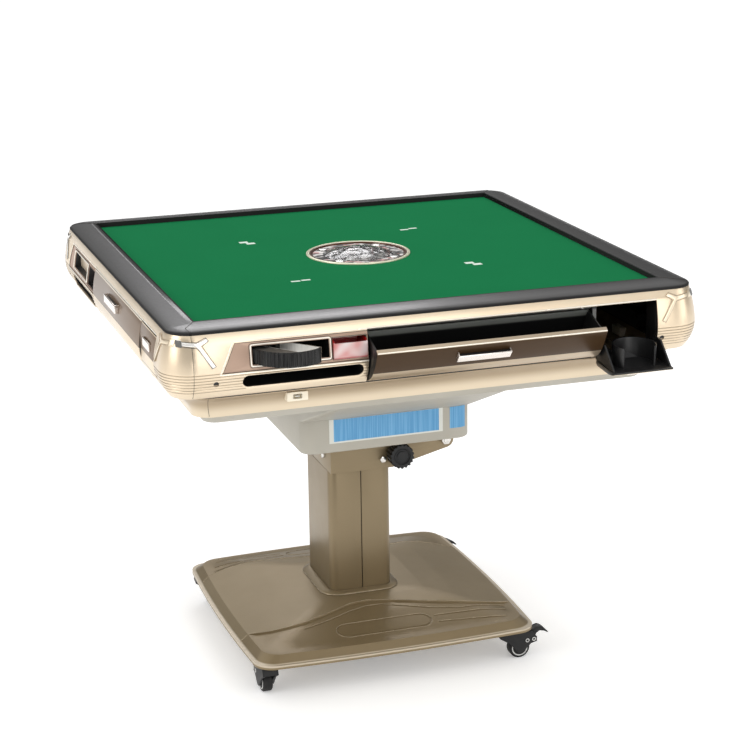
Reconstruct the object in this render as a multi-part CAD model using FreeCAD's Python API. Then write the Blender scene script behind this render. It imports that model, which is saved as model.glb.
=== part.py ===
import FreeCAD, Part
import math
import os

# Folding mahjong table on a castered pedestal, in millimetres.
# X runs along the front side to the right, Y to the back, Z up.
# The origin is on the floor, under the middle of the table top.
# Each long side is modelled once as the front side and turned about Z.
# On a side, "s" runs along it to the right and "depth" is the distance outwards
# from the middle of the table.

V = FreeCAD.Vector
X_AXIS = V(1, 0, 0)
Y_AXIS = V(0, 1, 0)
Z_AXIS = V(0, 0, 1)

# ---- clearances ----
RUNNING = 0.05              # radial play of a pin in its bore
PART_GAP = 0.5              # between a moving piece and its surroundings
PANEL_GAP = 1.5             # shadow line round a drawer or flap front

# ---- table top ----
RAIL_HALF = 455.0           # half width over the edge rails
RAIL_WIDTH = 51.0
CORNER_ARC = 42.0
CORNER_CORE = RAIL_HALF - CORNER_ARC    # half distance between the corner arcs' centres
RAIL_BASE_Z = 734.0         # top of the play board and of the side mouldings
RAIL_EDGE_H = 2.5
RAIL_SHOULDER_H = 5.5
RAIL_CROWN_H = 10.0
BOARD_T = 12.0
BOARD_INSET = 7.0
BOARD_HALF = RAIL_HALF - BOARD_INSET
CLOTH_T = 1.5
CLOTH_GAP = 0.3
SEAM_PAST = 8.5             # the mouldings meet this far past a corner arc's centre
SEAM_S = -(CORNER_CORE + SEAM_PAST)
SEAM_RAKE = 19.0            # the rail's joint leans this much across the rail

# ---- side mouldings ----
SKIRT_H = 105.0
BULGE_RISE = 44.0           # height of the fullest line above the foot
SKIRT_SWELL = 12.0          # the fullest line stands out this far beyond the rails
SKIRT_TUCK = 17.0           # and the foot lies this far in from it
SKIRT_BOTTOM_Z = RAIL_BASE_Z - SKIRT_H
SKIRT_BULGE_Z = SKIRT_BOTTOM_Z + BULGE_RISE
SKIRT_BULGE = RAIL_HALF + SKIRT_SWELL
SKIRT_FOOT = SKIRT_BULGE - SKIRT_TUCK
SKIRT_WALL = 5.0
FLANGE_T = 4.0
FLANGE_W = 25.0
FLANGE_IN = SKIRT_FOOT - FLANGE_W
LEDGE_T = 3.0
LEDGE_W = 10.0
LEDGE_IN = BOARD_HALF - LEDGE_W
GROOVE_COUNT = 7
GROOVE_PITCH = 5.0
GROOVE_DEPTH = 1.0
GROOVE_DROP = 2.0           # highest groove below the fullest line
GROOVE_TOP_Z = SKIRT_BULGE_Z - GROOVE_DROP
INLAY_H = 45.0
INLAY_BOTTOM_Z = GROOVE_TOP_Z + PART_GAP
INLAY_TOP_Z = INLAY_BOTTOM_Z + INLAY_H
INLAY_START_TOP = 59.5      # its slanted end, from the left corner arc's centre
INLAY_START_BOTTOM = 38.0
INLAY_DEPTH = 1.2
SCREW_END = 27.0
SCREW_RISE = 25.0
SCREW_S = CORNER_CORE - SCREW_END
SCREW_Z = SKIRT_BOTTOM_Z + SCREW_RISE
SCREW_R = 4.5
SCREW_DEPTH = 3.0
OPENING_TOP_Z = RAIL_BASE_Z - BOARD_T - LEDGE_T

# ---- cup-holder flap's place ----
DIVIDER_W = 7.5
CUP_END = 35.5              # from the right corner arc's centre to the flap's opening
CUP_OPENING_W = 106.5
CUP_R = CORNER_CORE - CUP_END

# ---- tilt drawer ----
DRAWER_START = 279.0        # from the left corner arc's centre to the opening
DRAWER_L = DRAWER_START - CORNER_CORE
DRAWER_R = CUP_R - CUP_OPENING_W - DIVIDER_W
DRAWER_HINGE_IN = 21.0
DRAWER_HINGE_RISE = 8.0
DRAWER_HINGE_DEPTH = SKIRT_BULGE - DRAWER_HINGE_IN
DRAWER_HINGE_Z = SKIRT_BOTTOM_Z + DRAWER_HINGE_RISE
DRAWER_OPEN = 40.0
DRAWER_PIN_R = 2.5
DRAWER_BARREL_R = 6.0
DRAWER_LAP = 2.5            # overlap of the drawer's and the flap's fronts on the divider
LAP_RISE = 17.0             # they lap over it above this height only
LAP_BOTTOM_Z = SKIRT_BOTTOM_Z + LAP_RISE
PANEL_T = 15.0
PANEL_FOOT = 2.5
PANEL_INNER = SKIRT_BULGE - PANEL_T
PANEL_BOTTOM_Z = SKIRT_BOTTOM_Z + PANEL_FOOT
PANEL_TOP_Z = OPENING_TOP_Z - PANEL_FOOT
TRAY_WALL = 2.5
TRAY_REACH = 57.0
TRAY_BACK = PANEL_INNER - TRAY_REACH
TRAY_FRONT_DROP = 4.5
TRAY_BACK_DROP = 26.5
TRAY_FRONT_TOP_Z = PANEL_TOP_Z - TRAY_FRONT_DROP
TRAY_BACK_TOP_Z = PANEL_TOP_Z - TRAY_BACK_DROP
TRAY_BOTTOM_Z = DRAWER_HINGE_Z + DRAWER_BARREL_R
HANDLE_START = 185.0        # from the drawer opening's left end to the pull's middle
HANDLE_S = DRAWER_L + HANDLE_START
HANDLE_W = 92.0
HANDLE_H = 15.0
HANDLE_REACH = 10.0
HANDLE_DROP = 20.5
HANDLE_Z = PANEL_TOP_Z - HANDLE_DROP
HANDLE_WALL = 2.0

# ---- cup-holder flap ----
CUP_HINGE_IN = 20.0
CUP_HINGE_RISE = 5.0
CUP_HINGE_DEPTH = SKIRT_BULGE - CUP_HINGE_IN
CUP_HINGE_Z = SKIRT_BOTTOM_Z + CUP_HINGE_RISE
CUP_OPEN = 93.0
CUP_PIN_R = 2.0
CUP_BARREL_R = 3.5
CUP_PLATE_T = 7.5
CUP_PLATE_SINK = 3.0
CUP_PLATE_OUTER = SKIRT_BULGE - CUP_PLATE_SINK
CUP_PLATE_INNER = CUP_PLATE_OUTER - CUP_PLATE_T
CUP_PLATE_BOTTOM_Z = CUP_HINGE_Z
CUP_HEEL_H = 12.0
CUP_WING_T = 3.0
CUP_WING_H = 29.0
CUP_RING_RISE = 39.5
CUP_RING_Z = CUP_HINGE_Z + CUP_RING_RISE
CUP_RING_SIDE = 12.5        # clear space between the ring and each wing
CUP_RING_WALL = 2.5
CUP_RING_R = (CUP_OPENING_W - 3 * PART_GAP) / 2 - CUP_WING_T - CUP_RING_SIDE - CUP_RING_WALL
CUP_RING_H = 34.0
CUP_RING_OPEN = 50.0        # half angle left open towards the flap's free edge
CUP_PULL_W = 45.0
CUP_PULL_REACH = 5.0
CUP_PULL_DROP = 24.5
CUP_PULL_Z = PANEL_TOP_Z - CUP_PULL_DROP
JAMB_T = 5.0
JAMB_DEPTH = 30.5
JAMB_PLAY = 1.5
JAMB_OUT = PANEL_INNER - JAMB_PLAY
JAMB_IN = JAMB_OUT - JAMB_DEPTH

# ---- swivel ashtray ----
ASH_START = 150.5           # from the left corner arc's centre to the pivot
ASH_S = ASH_START - CORNER_CORE
ASH_PIVOT_IN = 18.0
ASH_DEPTH = SKIRT_BULGE - ASH_PIVOT_IN
ASH_R = 62.0
ASH_POCKET_GAP = 1.5
ASH_FLAT = 4.0              # the flat face lies this far outside the pivot
ASH_DROP = 9.5
ASH_OPENING_H = 29.5
ASH_TOP_Z = OPENING_TOP_Z - ASH_DROP
ASH_BOTTOM_Z = ASH_TOP_Z - ASH_OPENING_H
ASH_PLAY = 1.5
ASH_BODY_H = 25.0
ASH_OPEN = 129.0
ASH_PIN_R = 2.0
ASH_PIN_DEPTH = 4.0
ASH_RIB_COUNT = 26
ASH_RIB_R = 1.3
ASH_DISH_WALL = 2.5
ASH_DISH_DEPTH = 15.0
ASH_DISH_SHEET = 0.8
ASH_DISH_CHORD = 38.0
ASH_GRIP_L = 20.0
ASH_GRIP_DEPTH = 12.0
POCKET_FLOOR_T = 6.0
POCKET_ROOF_T = 3.5
POCKET_WALL = 4.0

# ---- chip bin ----
BIN_OPENING_W = 57.5
BIN_GAP = 2.0
BIN_R = DRAWER_L - BIN_GAP
BIN_L = BIN_R - BIN_OPENING_W
BIN_OPENING_H = 34.0
BIN_TOP_Z = ASH_TOP_Z + PART_GAP
BIN_BOTTOM_Z = BIN_TOP_Z - BIN_OPENING_H
BIN_PROUD = 3.0
BIN_FRONT_OPEN = SKIRT_BULGE + BIN_PROUD
BIN_TRAVEL = 22.0
BIN_LENGTH = 50.0
BIN_WALL = 2.0
BIN_FRONT_H = 25.0
BIN_REST_H = 0.1

# ---- phone slot ----
PHONE_START = 70.0          # from the left corner arc's centre
PHONE_W = 201.0
PHONE_L = PHONE_START - CORNER_CORE
PHONE_R = PHONE_L + PHONE_W
PHONE_RISE = 25.0
PHONE_Z = SKIRT_BOTTOM_Z + PHONE_RISE
PHONE_H = 20.0
PHONE_DEPTH = 50.0
PHONE_POCKET_BACK = SKIRT_FOOT - PHONE_DEPTH
PHONE_POCKET_WALL = 3.0

# ---- corner trims ----
TRIM_T = 1.4
TRIM_W = 5.5
TRIM_NODE_DROP = 14.5
TRIM_BAR = 28.0             # length and rise of each arm from the node
TRIM_BAR_RISE = 3.0
TRIM_ARM = 17.0
TRIM_ARM_RISE = 7.0
TRIM_LEG = 24.5
TRIM_LEG_FALL = 37.0
TRIM_PAD_W = 8.0
TRIM_PAD_H = 11.0

# ---- lower cover, pan and control box ----
COVER_T = 3.0
COVER_LIP = 3.5
COVER_COVE = 37.5
COVER_H = 46.0
COVER_TOP_HALF = SKIRT_FOOT - COVER_LIP
COVER_FOOT_HALF = COVER_TOP_HALF - COVER_COVE
COVER_CORNER = 31.0
COVER_CORE = COVER_FOOT_HALF - COVER_CORNER
COVER_FOOT_Z = SKIRT_BOTTOM_Z - COVER_H
COVER_FLANGE_W = 28.5
COVER_FLANGE_IN = COVER_TOP_HALF - COVER_FLANGE_W
COVER_FOOT_W = 25.0
COVER_FOOT_IN = COVER_FOOT_HALF - COVER_FOOT_W
PAN_T = 2.0
PAN_INSET = 11.0
PAN_HALF = COVER_FOOT_HALF - PAN_INSET
PAN_DRAFT = 10.0
PAN_CORNER = 24.0
PAN_H = 16.0
CHUTE_HALF_W = 148.0        # mouth of the chute in the pan's floor
CHUTE_SETBACK = 2.0
CHUTE_H = 91.0
CHUTE_CORNER = 14.0
BOX_HALF = 160.0
BOX_H = 63.0
BOX_TOP_Z = COVER_FOOT_Z - PAN_H - CHUTE_H
BOX_BOTTOM_Z = BOX_TOP_Z - BOX_H
BOX_CORNER = 26.0
BOX_EDGE = 4.0
BOX_T = 2.5
USB_START = 168.0           # from the left corner arc's centre
USB_RISE = 28.0
USB_S = USB_START - CORNER_CORE
USB_Z = COVER_FOOT_Z + USB_RISE
USB_W = 35.0
USB_H = 15.0
USB_IN = 12.5
USB_T = 30.0
USB_FACE = COVER_TOP_HALF - USB_IN
USB_BACK = USB_FACE - USB_T
USB_SOCKET_W = 13.0
USB_SOCKET_H = 6.5
USB_SOCKET_DEPTH = 9.0

# ---- lifting dice unit ----
LIFT_RING_R = 95.0
LIFT_BODY_R = 91.5
LIFT_HOLE_R = 93.0
LIFT_RING_W = 9.0
LIFT_RING_H = 3.5
LIFT_FACE_H = 1.0
LIFT_BODY_H = 26.0
LIFT_TRAY_R = 62.0
LIFT_TRAY_DEPTH = 18.0
LIFT_POST_R = 10.0
LIFT_POST_L = 148.0
GUIDE_WALL = 4.0
GUIDE_DROP = 44.0
GUIDE_TOP_Z = RAIL_BASE_Z - GUIDE_DROP
BUTTON_R = 8.0
BUTTON_H = 2.0
BUTTON_RING_R = 73.0
DOME_R = 64.0
DOME_H = 12.0
DOME_T = 2.0
DOME_BANDS = 6
DIE = 13.0
DIE_SPREAD = 17.0

# ---- fold joint ----
PIVOT_X = 136.0
PIVOT_DROP = 24.0
PIVOT_Z = BOX_BOTTOM_Z - PIVOT_DROP
PIVOT_R = 5.0
PIVOT_HEX = 16.0
PIVOT_HEX_H = 7.0
BRACKET_HALF = 86.0
BRACKET_T = 5.0
BRACKET_DROP = 42.0
BRACKET_SEAT = 0.3          # play under the hinge plate
HINGE_PLATE_T = 6.0
BRACKET_BOTTOM_Z = PIVOT_Z - BRACKET_DROP
BRACKET_TOP_Z = BOX_BOTTOM_Z - HINGE_PLATE_T - BRACKET_SEAT
BRACKET_LEFT_X = -87.0
BRACKET_RIGHT_X = 33.0
BRACKET_EYE_R = 16.0
BOLT_HEX = 11.0
BOLT_HEX_H = 5.0
BOLT_Y = 48.0
BOLT_DROP = 15.5
LUG_GAP = 1.5
LUG_T = 5.0
LUG_LEFT_X = 22.0
LUG_DROP = 29.0
LUG_BOTTOM_Z = PIVOT_Z - LUG_DROP
KNOB_X = 42.0
KNOB_DROP = 15.0
KNOB_Z = PIVOT_Z - KNOB_DROP
KNOB_R = 23.0
KNOB_T = 24.0
KNOB_STANDOFF = 4.0
KNOB_STUD_R = 4.0
KNOB_FLUTES = 18
KNOB_FLUTE_R = 2.2

# ---- casters ----
CASTER_X = -25.0            # middle of the four casters
CASTER_OFFSET = 231.0       # from there, along X and along Y
WHEEL_R = 20.0
WHEEL_W = 18.0
WHEEL_TRAIL = 18.0
AXLE_R = 3.0
STEM_R = 5.0
STEM_H = 7.0
FORK_TOP_Z = 59.5
FORK_GAP = 1.0
CHEEK_T = 4.5
LEVER_PIVOT_X = 44.0
LEVER_PIVOT_Z = 36.0
LEVER_PIN_R = 1.5
LEVER_W = 19.0
CASTER_TURNS = {"front_left": 90.0, "front_right": 0.0, "rear_right": 15.0, "rear_left": -5.0}

# ---- base ----
BASE_X = -16.0              # middle of the base cover
BASE_HALF = 265.5
BASE_BULGE = 7.0
BASE_CORNER = 36.0
BASE_RIM_Z = FORK_TOP_Z + PART_GAP
BASE_RIM_H = 7.0
BASE_STEP = 5.0
BASE_BEVEL = 13.0
BASE_BEVEL_H = 13.0
BASE_CROWN = 27.0
BASE_WALL = 3.0
BASE_TOP_Z = BASE_RIM_Z + BASE_RIM_H + BASE_BEVEL_H + BASE_CROWN
EMBOSS_DEPTH = 3.0
GROOVE_W = 3.5
LOOP_L = -101.0
LOOP_R = 80.0
LOOP_Y = -203.0
LOOP_H = 41.0
FIELD_POINTS = ((-265.0, -138.0), (-248.0, -142.0), (-214.0, -158.0), (-183.0, -164.0), (-149.0, -162.0),
                (-117.0, -151.0), (-84.0, -137.0), (-50.0, -122.0), (-19.0, -118.0), (25.0, -128.0),
                (96.0, -151.0), (169.0, -169.0), (215.0, -170.0), (265.0, -160.0))
WAVE_POINTS = ((-155.0, -180.0), (-102.0, -164.0), (-58.0, -145.0), (-25.0, -135.0), (3.0, -135.0),
               (38.0, -149.0), (89.0, -169.0), (144.0, -182.0), (235.0, -178.0))
LINE_POINTS = (((89.0, -195.0), (229.0, -197.0)), ((90.0, -216.0), (220.0, -225.0)),
               ((190.0, -243.0), (217.0, -241.0)))
FRAME_SEAT = 1.0
FRAME_Z = FORK_TOP_Z + FRAME_SEAT
FRAME_T = 8.0
FRAME_ROOM = 10.5           # rim's outer face to the space for the frame
FRAME_BAR_W = 28.0
FRAME_FOOT_MARGIN = 35.0
CASTER_PAD_R = 9.0

# ---- column ----
COLUMN_X = -28.0            # middle of the column
COLUMN_HALF_W = 59.5
COLUMN_HALF_D = 77.0
COLUMN_CORNER = 16.0
COLUMN_SHELL_T = 2.0
COLUMN_SEAM_X = -27.0
COLUMN_SEAM_GAP = 1.4
COLUMN_SINK = 1.0
COLUMN_FOOT_Z = BASE_TOP_Z + COLUMN_SINK
POST_HALF_W = 45.0
POST_HALF_D = 60.0
POST_CORNER = 4.0
POST_T = 3.0
COLLAR_MARGIN_X = 17.0
COLLAR_MARGIN_Y = 10.0
COLLAR_CORNER = 36.0
COLLAR_H = 7.0
COLLAR_T = 3.5
COLLAR_CHAMFER = 1.5

SIDES = ("front", "right", "rear", "left")

os.makedirs("parts", exist_ok=True)


# ---------------------------------------------------------------- helpers

def box(x0, x1, y0, y1, z0, z1):
    """A block between two corners."""
    return Part.makeBox(x1 - x0, y1 - y0, z1 - z0, V(x0, y0, z0))


def side_box(s0, s1, depth0, depth1, z0, z1):
    """A block on the front side, given by s, depth and height."""
    return box(s0, s1, -depth1, -depth0, z0, z1)


def polygon_face(points):
    """A flat face through points that are already in space."""
    closed = list(points) + [points[0]]
    return Part.Face(Part.makePolygon(closed))


def side_prism(profile, s0, s1):
    """A (depth, z) profile drawn along the front side."""
    face = polygon_face([V(s0, -depth, z) for depth, z in profile])
    return face.extrude(V(s1 - s0, 0, 0))


def front_prism(outline, depth0, depth1):
    """An (s, z) outline drawn outwards through the front side."""
    face = polygon_face([V(s, -depth0, z) for s, z in outline])
    return face.extrude(V(0, depth0 - depth1, 0))


def rounded_square(half, core, z):
    """A square wire with arcs about centres at +-core."""
    radius = half - core
    edges = []
    for turn in range(4):
        spin = FreeCAD.Rotation(Z_AXIS, 90.0 * turn)
        start = spin.multVec(V(-core, -half, z))
        end = spin.multVec(V(core, -half, z))
        middle = V(core + radius * math.sin(math.pi / 4), -core - radius * math.cos(math.pi / 4), z)
        stop = spin.multVec(V(half, -core, z))
        edges.append(Part.makeLine(start, end))
        edges.append(Part.Arc(end, spin.multVec(middle), stop).toShape())
    return Part.Wire(edges)


def rounded_rect_face(half_x, half_y, radius, cx, cy, z):
    """A rectangle face with round corners, centred at cx, cy."""
    edges = []
    corners = ((1, -1, -90), (1, 1, 0), (-1, 1, 90), (-1, -1, 180))
    points = []
    for sx, sy, start in corners:
        centre = V(cx + sx * (half_x - radius), cy + sy * (half_y - radius), z)
        turn = [math.radians(start + step) for step in (0, 45, 90)]
        points.append([centre + V(radius * math.cos(a), radius * math.sin(a), 0) for a in turn])
    for index, arc in enumerate(points):
        edges.append(Part.Arc(*arc).toShape())
        edges.append(Part.makeLine(arc[2], points[(index + 1) % 4][0]))
    return Part.Face(Part.Wire(edges))


def rounded_block(half_x, half_y, radius, cx, cy, z0, z1):
    """A block with round upright edges."""
    return rounded_rect_face(half_x, half_y, radius, cx, cy, z0).extrude(V(0, 0, z1 - z0))


def ring_from_profile(profile, core):
    """A (depth, z) profile carried round the table, turning about corner axes at +-core."""
    straight = side_prism(profile, -core, core)
    corner_face = polygon_face([V(core, -depth, z) for depth, z in profile])
    corner = corner_face.revolve(V(core, -core, 0), Z_AXIS, 90.0)
    pieces = []
    for turn in range(4):
        for piece in (straight, corner):
            pieces.append(piece.rotated(V(0, 0, 0), Z_AXIS, 90.0 * turn))
    return pieces[0].fuse(pieces[1:]).removeSplitter()


def cylinder(radius, start, direction, length):
    """A cylinder from a start point along a direction."""
    return Part.makeCylinder(radius, length, start, direction)


def on_side(shape, side):
    """The front side's shape turned to another side."""
    return shape.rotated(V(0, 0, 0), Z_AXIS, 90.0 * SIDES.index(side))


def opened(shape, depth, z, angle):
    """The front side's shape tilted outwards about a hinge line along s."""
    return shape.rotated(V(0, -depth, z), X_AXIS, angle)


def export(shape, name):
    """One STEP file per piece."""
    shape.exportStep("parts/" + name + ".step")


# ---------------------------------------------------------------- side mouldings

def skirt_depth(z):
    """Depth of the side moulding's outer face at a height."""
    if z >= SKIRT_BULGE_Z:
        t = (z - SKIRT_BULGE_Z) / (RAIL_BASE_Z - SKIRT_BULGE_Z)
        return SKIRT_BULGE - (SKIRT_BULGE - RAIL_HALF) * t ** 1.6
    t = (SKIRT_BULGE_Z - z) / (SKIRT_BULGE_Z - SKIRT_BOTTOM_Z)
    return SKIRT_BULGE - (SKIRT_BULGE - SKIRT_FOOT) * t ** 2.2


def plain_outer(z0, z1, steps):
    """Points of the outer face from z0 to z1."""
    heights = [z0 + (z1 - z0) * i / steps for i in range(steps + 1)]
    return [(skirt_depth(z), z) for z in heights]


def grooved_outer():
    """The outer face from the foot to the top, with its row of fine grooves."""
    last_groove = GROOVE_TOP_Z - GROOVE_PITCH * (GROOVE_COUNT - 1)
    points = plain_outer(SKIRT_BOTTOM_Z, last_groove - GROOVE_DEPTH * 2, 2)
    for index in range(GROOVE_COUNT):
        z = last_groove + GROOVE_PITCH * index
        points.append((skirt_depth(z) - GROOVE_DEPTH, z))
        points.append((skirt_depth(z + GROOVE_DEPTH), z + GROOVE_DEPTH))
        points.append((skirt_depth(z + GROOVE_PITCH / 2), z + GROOVE_PITCH / 2))
        if index < GROOVE_COUNT - 1:
            rise = z + GROOVE_PITCH - GROOVE_DEPTH
            points.append((skirt_depth(rise), rise))
    return points + plain_outer(GROOVE_TOP_Z + GROOVE_PITCH, RAIL_BASE_Z, 5)


def skirt_profile():
    """Closed section of the side moulding: face, ledge under the board and foot flange."""
    board_under = RAIL_BASE_Z - BOARD_T
    inner = [
        (BOARD_HALF + 2 * RUNNING, RAIL_BASE_Z),
        (BOARD_HALF + 2 * RUNNING, board_under),
        (LEDGE_IN, board_under),
        (LEDGE_IN, board_under - LEDGE_T),
        (skirt_depth(board_under) - SKIRT_WALL, board_under - LEDGE_T),
        (SKIRT_BULGE - SKIRT_WALL, SKIRT_BULGE_Z),
        (skirt_depth(SKIRT_BOTTOM_Z + 14) - SKIRT_WALL, SKIRT_BOTTOM_Z + 14),
        (SKIRT_FOOT - 3, SKIRT_BOTTOM_Z + FLANGE_T),
        (FLANGE_IN, SKIRT_BOTTOM_Z + FLANGE_T),
        (FLANGE_IN, SKIRT_BOTTOM_Z),
    ]
    return grooved_outer() + inner


def ashtray_pocket():
    """Housing behind the ashtray and chip bin openings, before they are cut."""
    roof = ASH_TOP_Z + POCKET_ROOF_T
    floor = ASH_BOTTOM_Z - POCKET_FLOOR_T
    back = ASH_DEPTH - ASH_R - ASH_POCKET_GAP - POCKET_WALL
    ash_l = ASH_S - ASH_R - ASH_POCKET_GAP - POCKET_WALL
    block = side_box(ash_l, DRAWER_L, back + 20, SKIRT_BULGE - SKIRT_WALL - 2, floor, roof)
    drum_wall = cylinder(ASH_R + ASH_POCKET_GAP + POCKET_WALL, V(ASH_S, -ASH_DEPTH, floor), Z_AXIS,
                         roof - floor)
    inside = side_box(ash_l, DRAWER_L, back, ASH_DEPTH, floor, roof)
    return block.fuse(drum_wall.common(inside))


def cut_ashtray_and_bin(skirt):
    """Round ashtray pocket with its pivot holes, and the bin's square pocket."""
    radius = ASH_R + ASH_POCKET_GAP
    height = ASH_TOP_Z - ASH_BOTTOM_Z
    well = cylinder(radius, V(ASH_S, -ASH_DEPTH, ASH_BOTTOM_Z), Z_AXIS, height)
    mouth = side_box(ASH_S - radius, ASH_S + radius, ASH_DEPTH, 2 * SKIRT_BULGE, ASH_BOTTOM_Z, ASH_TOP_Z)
    pin = cylinder(ASH_PIN_R + RUNNING, V(ASH_S, -ASH_DEPTH, ASH_BOTTOM_Z - ASH_PIN_DEPTH), Z_AXIS,
                   ASH_PIN_DEPTH + 1)
    bin_back = BIN_FRONT_OPEN - BIN_TRAVEL - BIN_LENGTH - PART_GAP
    bin_hole = side_box(BIN_L, BIN_R, bin_back, 2 * SKIRT_BULGE, BIN_BOTTOM_Z, BIN_TOP_Z)
    for tool in (well, mouth, pin, bin_hole):
        skirt = skirt.cut(tool)
    return skirt


def stadium(s0, s1, z, height, depth0, depth1):
    """A long slot with round ends, through the side."""
    r = height / 2
    bar = side_box(s0 + r, s1 - r, depth0, depth1, z - r, z + r)
    for s in (s0 + r, s1 - r):
        bar = bar.fuse(cylinder(r, V(s, -depth0, z), V(0, -1, 0), depth1 - depth0))
    return bar.removeSplitter()


def phone_pocket():
    """Closed sleeve behind the phone slot."""
    wall = PHONE_POCKET_WALL
    return stadium(PHONE_L - wall, PHONE_R + wall, PHONE_Z, PHONE_H + 2 * wall,
                   PHONE_POCKET_BACK - wall, skirt_depth(PHONE_Z) - 3)


def jambs():
    """Upright ribs that carry the hinge pins of the drawer and the flap."""
    z0 = SKIRT_BOTTOM_Z
    divider_r = DRAWER_R + DIVIDER_W
    spans = ((DRAWER_L - JAMB_T, DRAWER_L), (DRAWER_R, divider_r), (CUP_R, CUP_R + JAMB_T))
    ribs = [side_box(a, b, JAMB_IN, JAMB_OUT, z0, OPENING_TOP_Z) for a, b in spans]
    face = skirt_depth(z0 + 10) - 1
    for a, b in (spans[0], spans[2]):
        ribs.append(side_box(a, b, JAMB_OUT - 1, face, z0 + 8, OPENING_TOP_Z))
    return ribs


def hinge_holes():
    """Bores for the hinge pins, right through the ribs."""
    drawer = cylinder(DRAWER_PIN_R + RUNNING, V(DRAWER_L - 2 * JAMB_T, -DRAWER_HINGE_DEPTH, DRAWER_HINGE_Z),
                      X_AXIS, DRAWER_R - DRAWER_L + 2 * JAMB_T + DIVIDER_W / 2)
    cup_start = DRAWER_R + DIVIDER_W / 2 + 0.8
    cup = cylinder(CUP_PIN_R + RUNNING, V(cup_start, -CUP_HINGE_DEPTH, CUP_HINGE_Z),
                   X_AXIS, CUP_R + 2 * JAMB_T - cup_start)
    return drawer, cup


def inlay_recess():
    """Shallow field between the slanted left end and the drawer."""
    top_s = INLAY_START_TOP - CORNER_CORE
    bottom_s = INLAY_START_BOTTOM - CORNER_CORE
    outline = ((bottom_s, INLAY_BOTTOM_Z), (DRAWER_L, INLAY_BOTTOM_Z), (DRAWER_L, INLAY_TOP_Z),
               (top_s, INLAY_TOP_Z))
    field = front_prism(outline, SKIRT_FOOT, 2 * SKIRT_BULGE)
    section = plain_outer(INLAY_BOTTOM_Z - 1, INLAY_TOP_Z + 1, 4)
    core = [(depth - INLAY_DEPTH, z) for depth, z in section]
    core += [(SKIRT_FOOT - 1, INLAY_TOP_Z + 1), (SKIRT_FOOT - 1, INLAY_BOTTOM_Z - 1)]
    return field.cut(side_prism(core, bottom_s - 1, DRAWER_L + 1))


def skirt_front():
    """One side moulding with its openings, pockets, ribs and screw recesses."""
    ring = ring_from_profile(skirt_profile(), CORNER_CORE)
    reach = SKIRT_BULGE + 5
    piece = ring.common(box(SEAM_S, reach, -reach, SEAM_S, SKIRT_BOTTOM_Z - 1, RAIL_BASE_Z + 1))
    piece = piece.cut(inlay_recess())
    piece = piece.fuse([ashtray_pocket(), phone_pocket()])
    openings = [
        side_box(DRAWER_L, DRAWER_R, JAMB_IN - 1, reach, SKIRT_BOTTOM_Z - 1, OPENING_TOP_Z),
        side_box(DRAWER_R - 1, CUP_R, JAMB_IN - 1, reach, SKIRT_BOTTOM_Z - 1, OPENING_TOP_Z),
        stadium(PHONE_L, PHONE_R, PHONE_Z, PHONE_H, PHONE_POCKET_BACK, reach),
    ]
    for s in (-SCREW_S, SCREW_S):
        start = V(s, -(skirt_depth(SCREW_Z) - SCREW_DEPTH), SCREW_Z)
        openings.append(cylinder(SCREW_R, start, V(0, -1, 0), 10))
    for tool in openings:
        piece = piece.cut(tool)
    piece = cut_ashtray_and_bin(piece.fuse(jambs()))
    for hole in hinge_holes():
        piece = piece.cut(hole)
    return piece.removeSplitter()


# ---------------------------------------------------------------- tilt drawer

def front_panel(s0, s1, z0, z1, inner):
    """A front that carries on the side moulding's curve."""
    outer = plain_outer(z0, z1, 8)
    return side_prism(outer + [(inner, z1), (inner, z0)], s0, s1)


def cup_pull(s, width, z, face, reach):
    """A pull open at the top for the fingers."""
    half = width / 2
    front = face + reach
    body = side_box(s - half, s + half, face, front, z - HANDLE_H / 2, z + HANDLE_H / 2)
    rim = [e for e in body.Edges if abs(e.BoundBox.YMin + front) < 0.01 and e.BoundBox.YLength < 0.01]
    body = body.makeFillet(HANDLE_WALL * 0.9, rim)
    hollow = side_box(s - half + HANDLE_WALL, s + half - HANDLE_WALL, face + 0.1, front - HANDLE_WALL,
                      z - HANDLE_H / 2 + HANDLE_WALL, z + HANDLE_H)
    return body.cut(hollow)


def drawer_front():
    """Panel, hinge barrel with its pins, and the pull."""
    s0 = DRAWER_L + PANEL_GAP
    s1 = DRAWER_R + DRAWER_LAP
    panel = front_panel(s0, s1, PANEL_BOTTOM_Z, PANEL_TOP_Z, PANEL_INNER)
    lap_foot = side_box(DRAWER_R - PART_GAP, s1 + 1, SKIRT_FOOT, SKIRT_BULGE, SKIRT_BOTTOM_Z, LAP_BOTTOM_Z)
    panel = panel.cut(lap_foot)
    foot = side_box(s0, DRAWER_R - PART_GAP, DRAWER_HINGE_DEPTH, PANEL_INNER + 1,
                    PANEL_BOTTOM_Z + 1, DRAWER_HINGE_Z + DRAWER_BARREL_R)
    clip = side_prism(plain_outer(PANEL_BOTTOM_Z, PANEL_TOP_Z, 8)
                      + [(TRAY_BACK, PANEL_TOP_Z), (TRAY_BACK, PANEL_BOTTOM_Z)], s0, s1)
    centre = V(s0, -DRAWER_HINGE_DEPTH, DRAWER_HINGE_Z)
    barrel = cylinder(DRAWER_BARREL_R, centre, X_AXIS, DRAWER_R - PART_GAP - s0)
    pin_start = V(DRAWER_L - JAMB_T + PART_GAP, -DRAWER_HINGE_DEPTH, DRAWER_HINGE_Z)
    pin = cylinder(DRAWER_PIN_R, pin_start, X_AXIS, DRAWER_R + DIVIDER_W / 2 - PART_GAP - pin_start.x)
    return panel.fuse([foot.common(clip), barrel, pin]).removeSplitter()


def drawer_handle():
    """Pull seated on the panel's face."""
    pull = cup_pull(HANDLE_S, HANDLE_W, HANDLE_Z, skirt_depth(HANDLE_Z) - 1.5, HANDLE_REACH)
    return pull.cut(front_panel(DRAWER_L, DRAWER_R, PANEL_BOTTOM_Z, PANEL_TOP_Z, PANEL_INNER))


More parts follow.
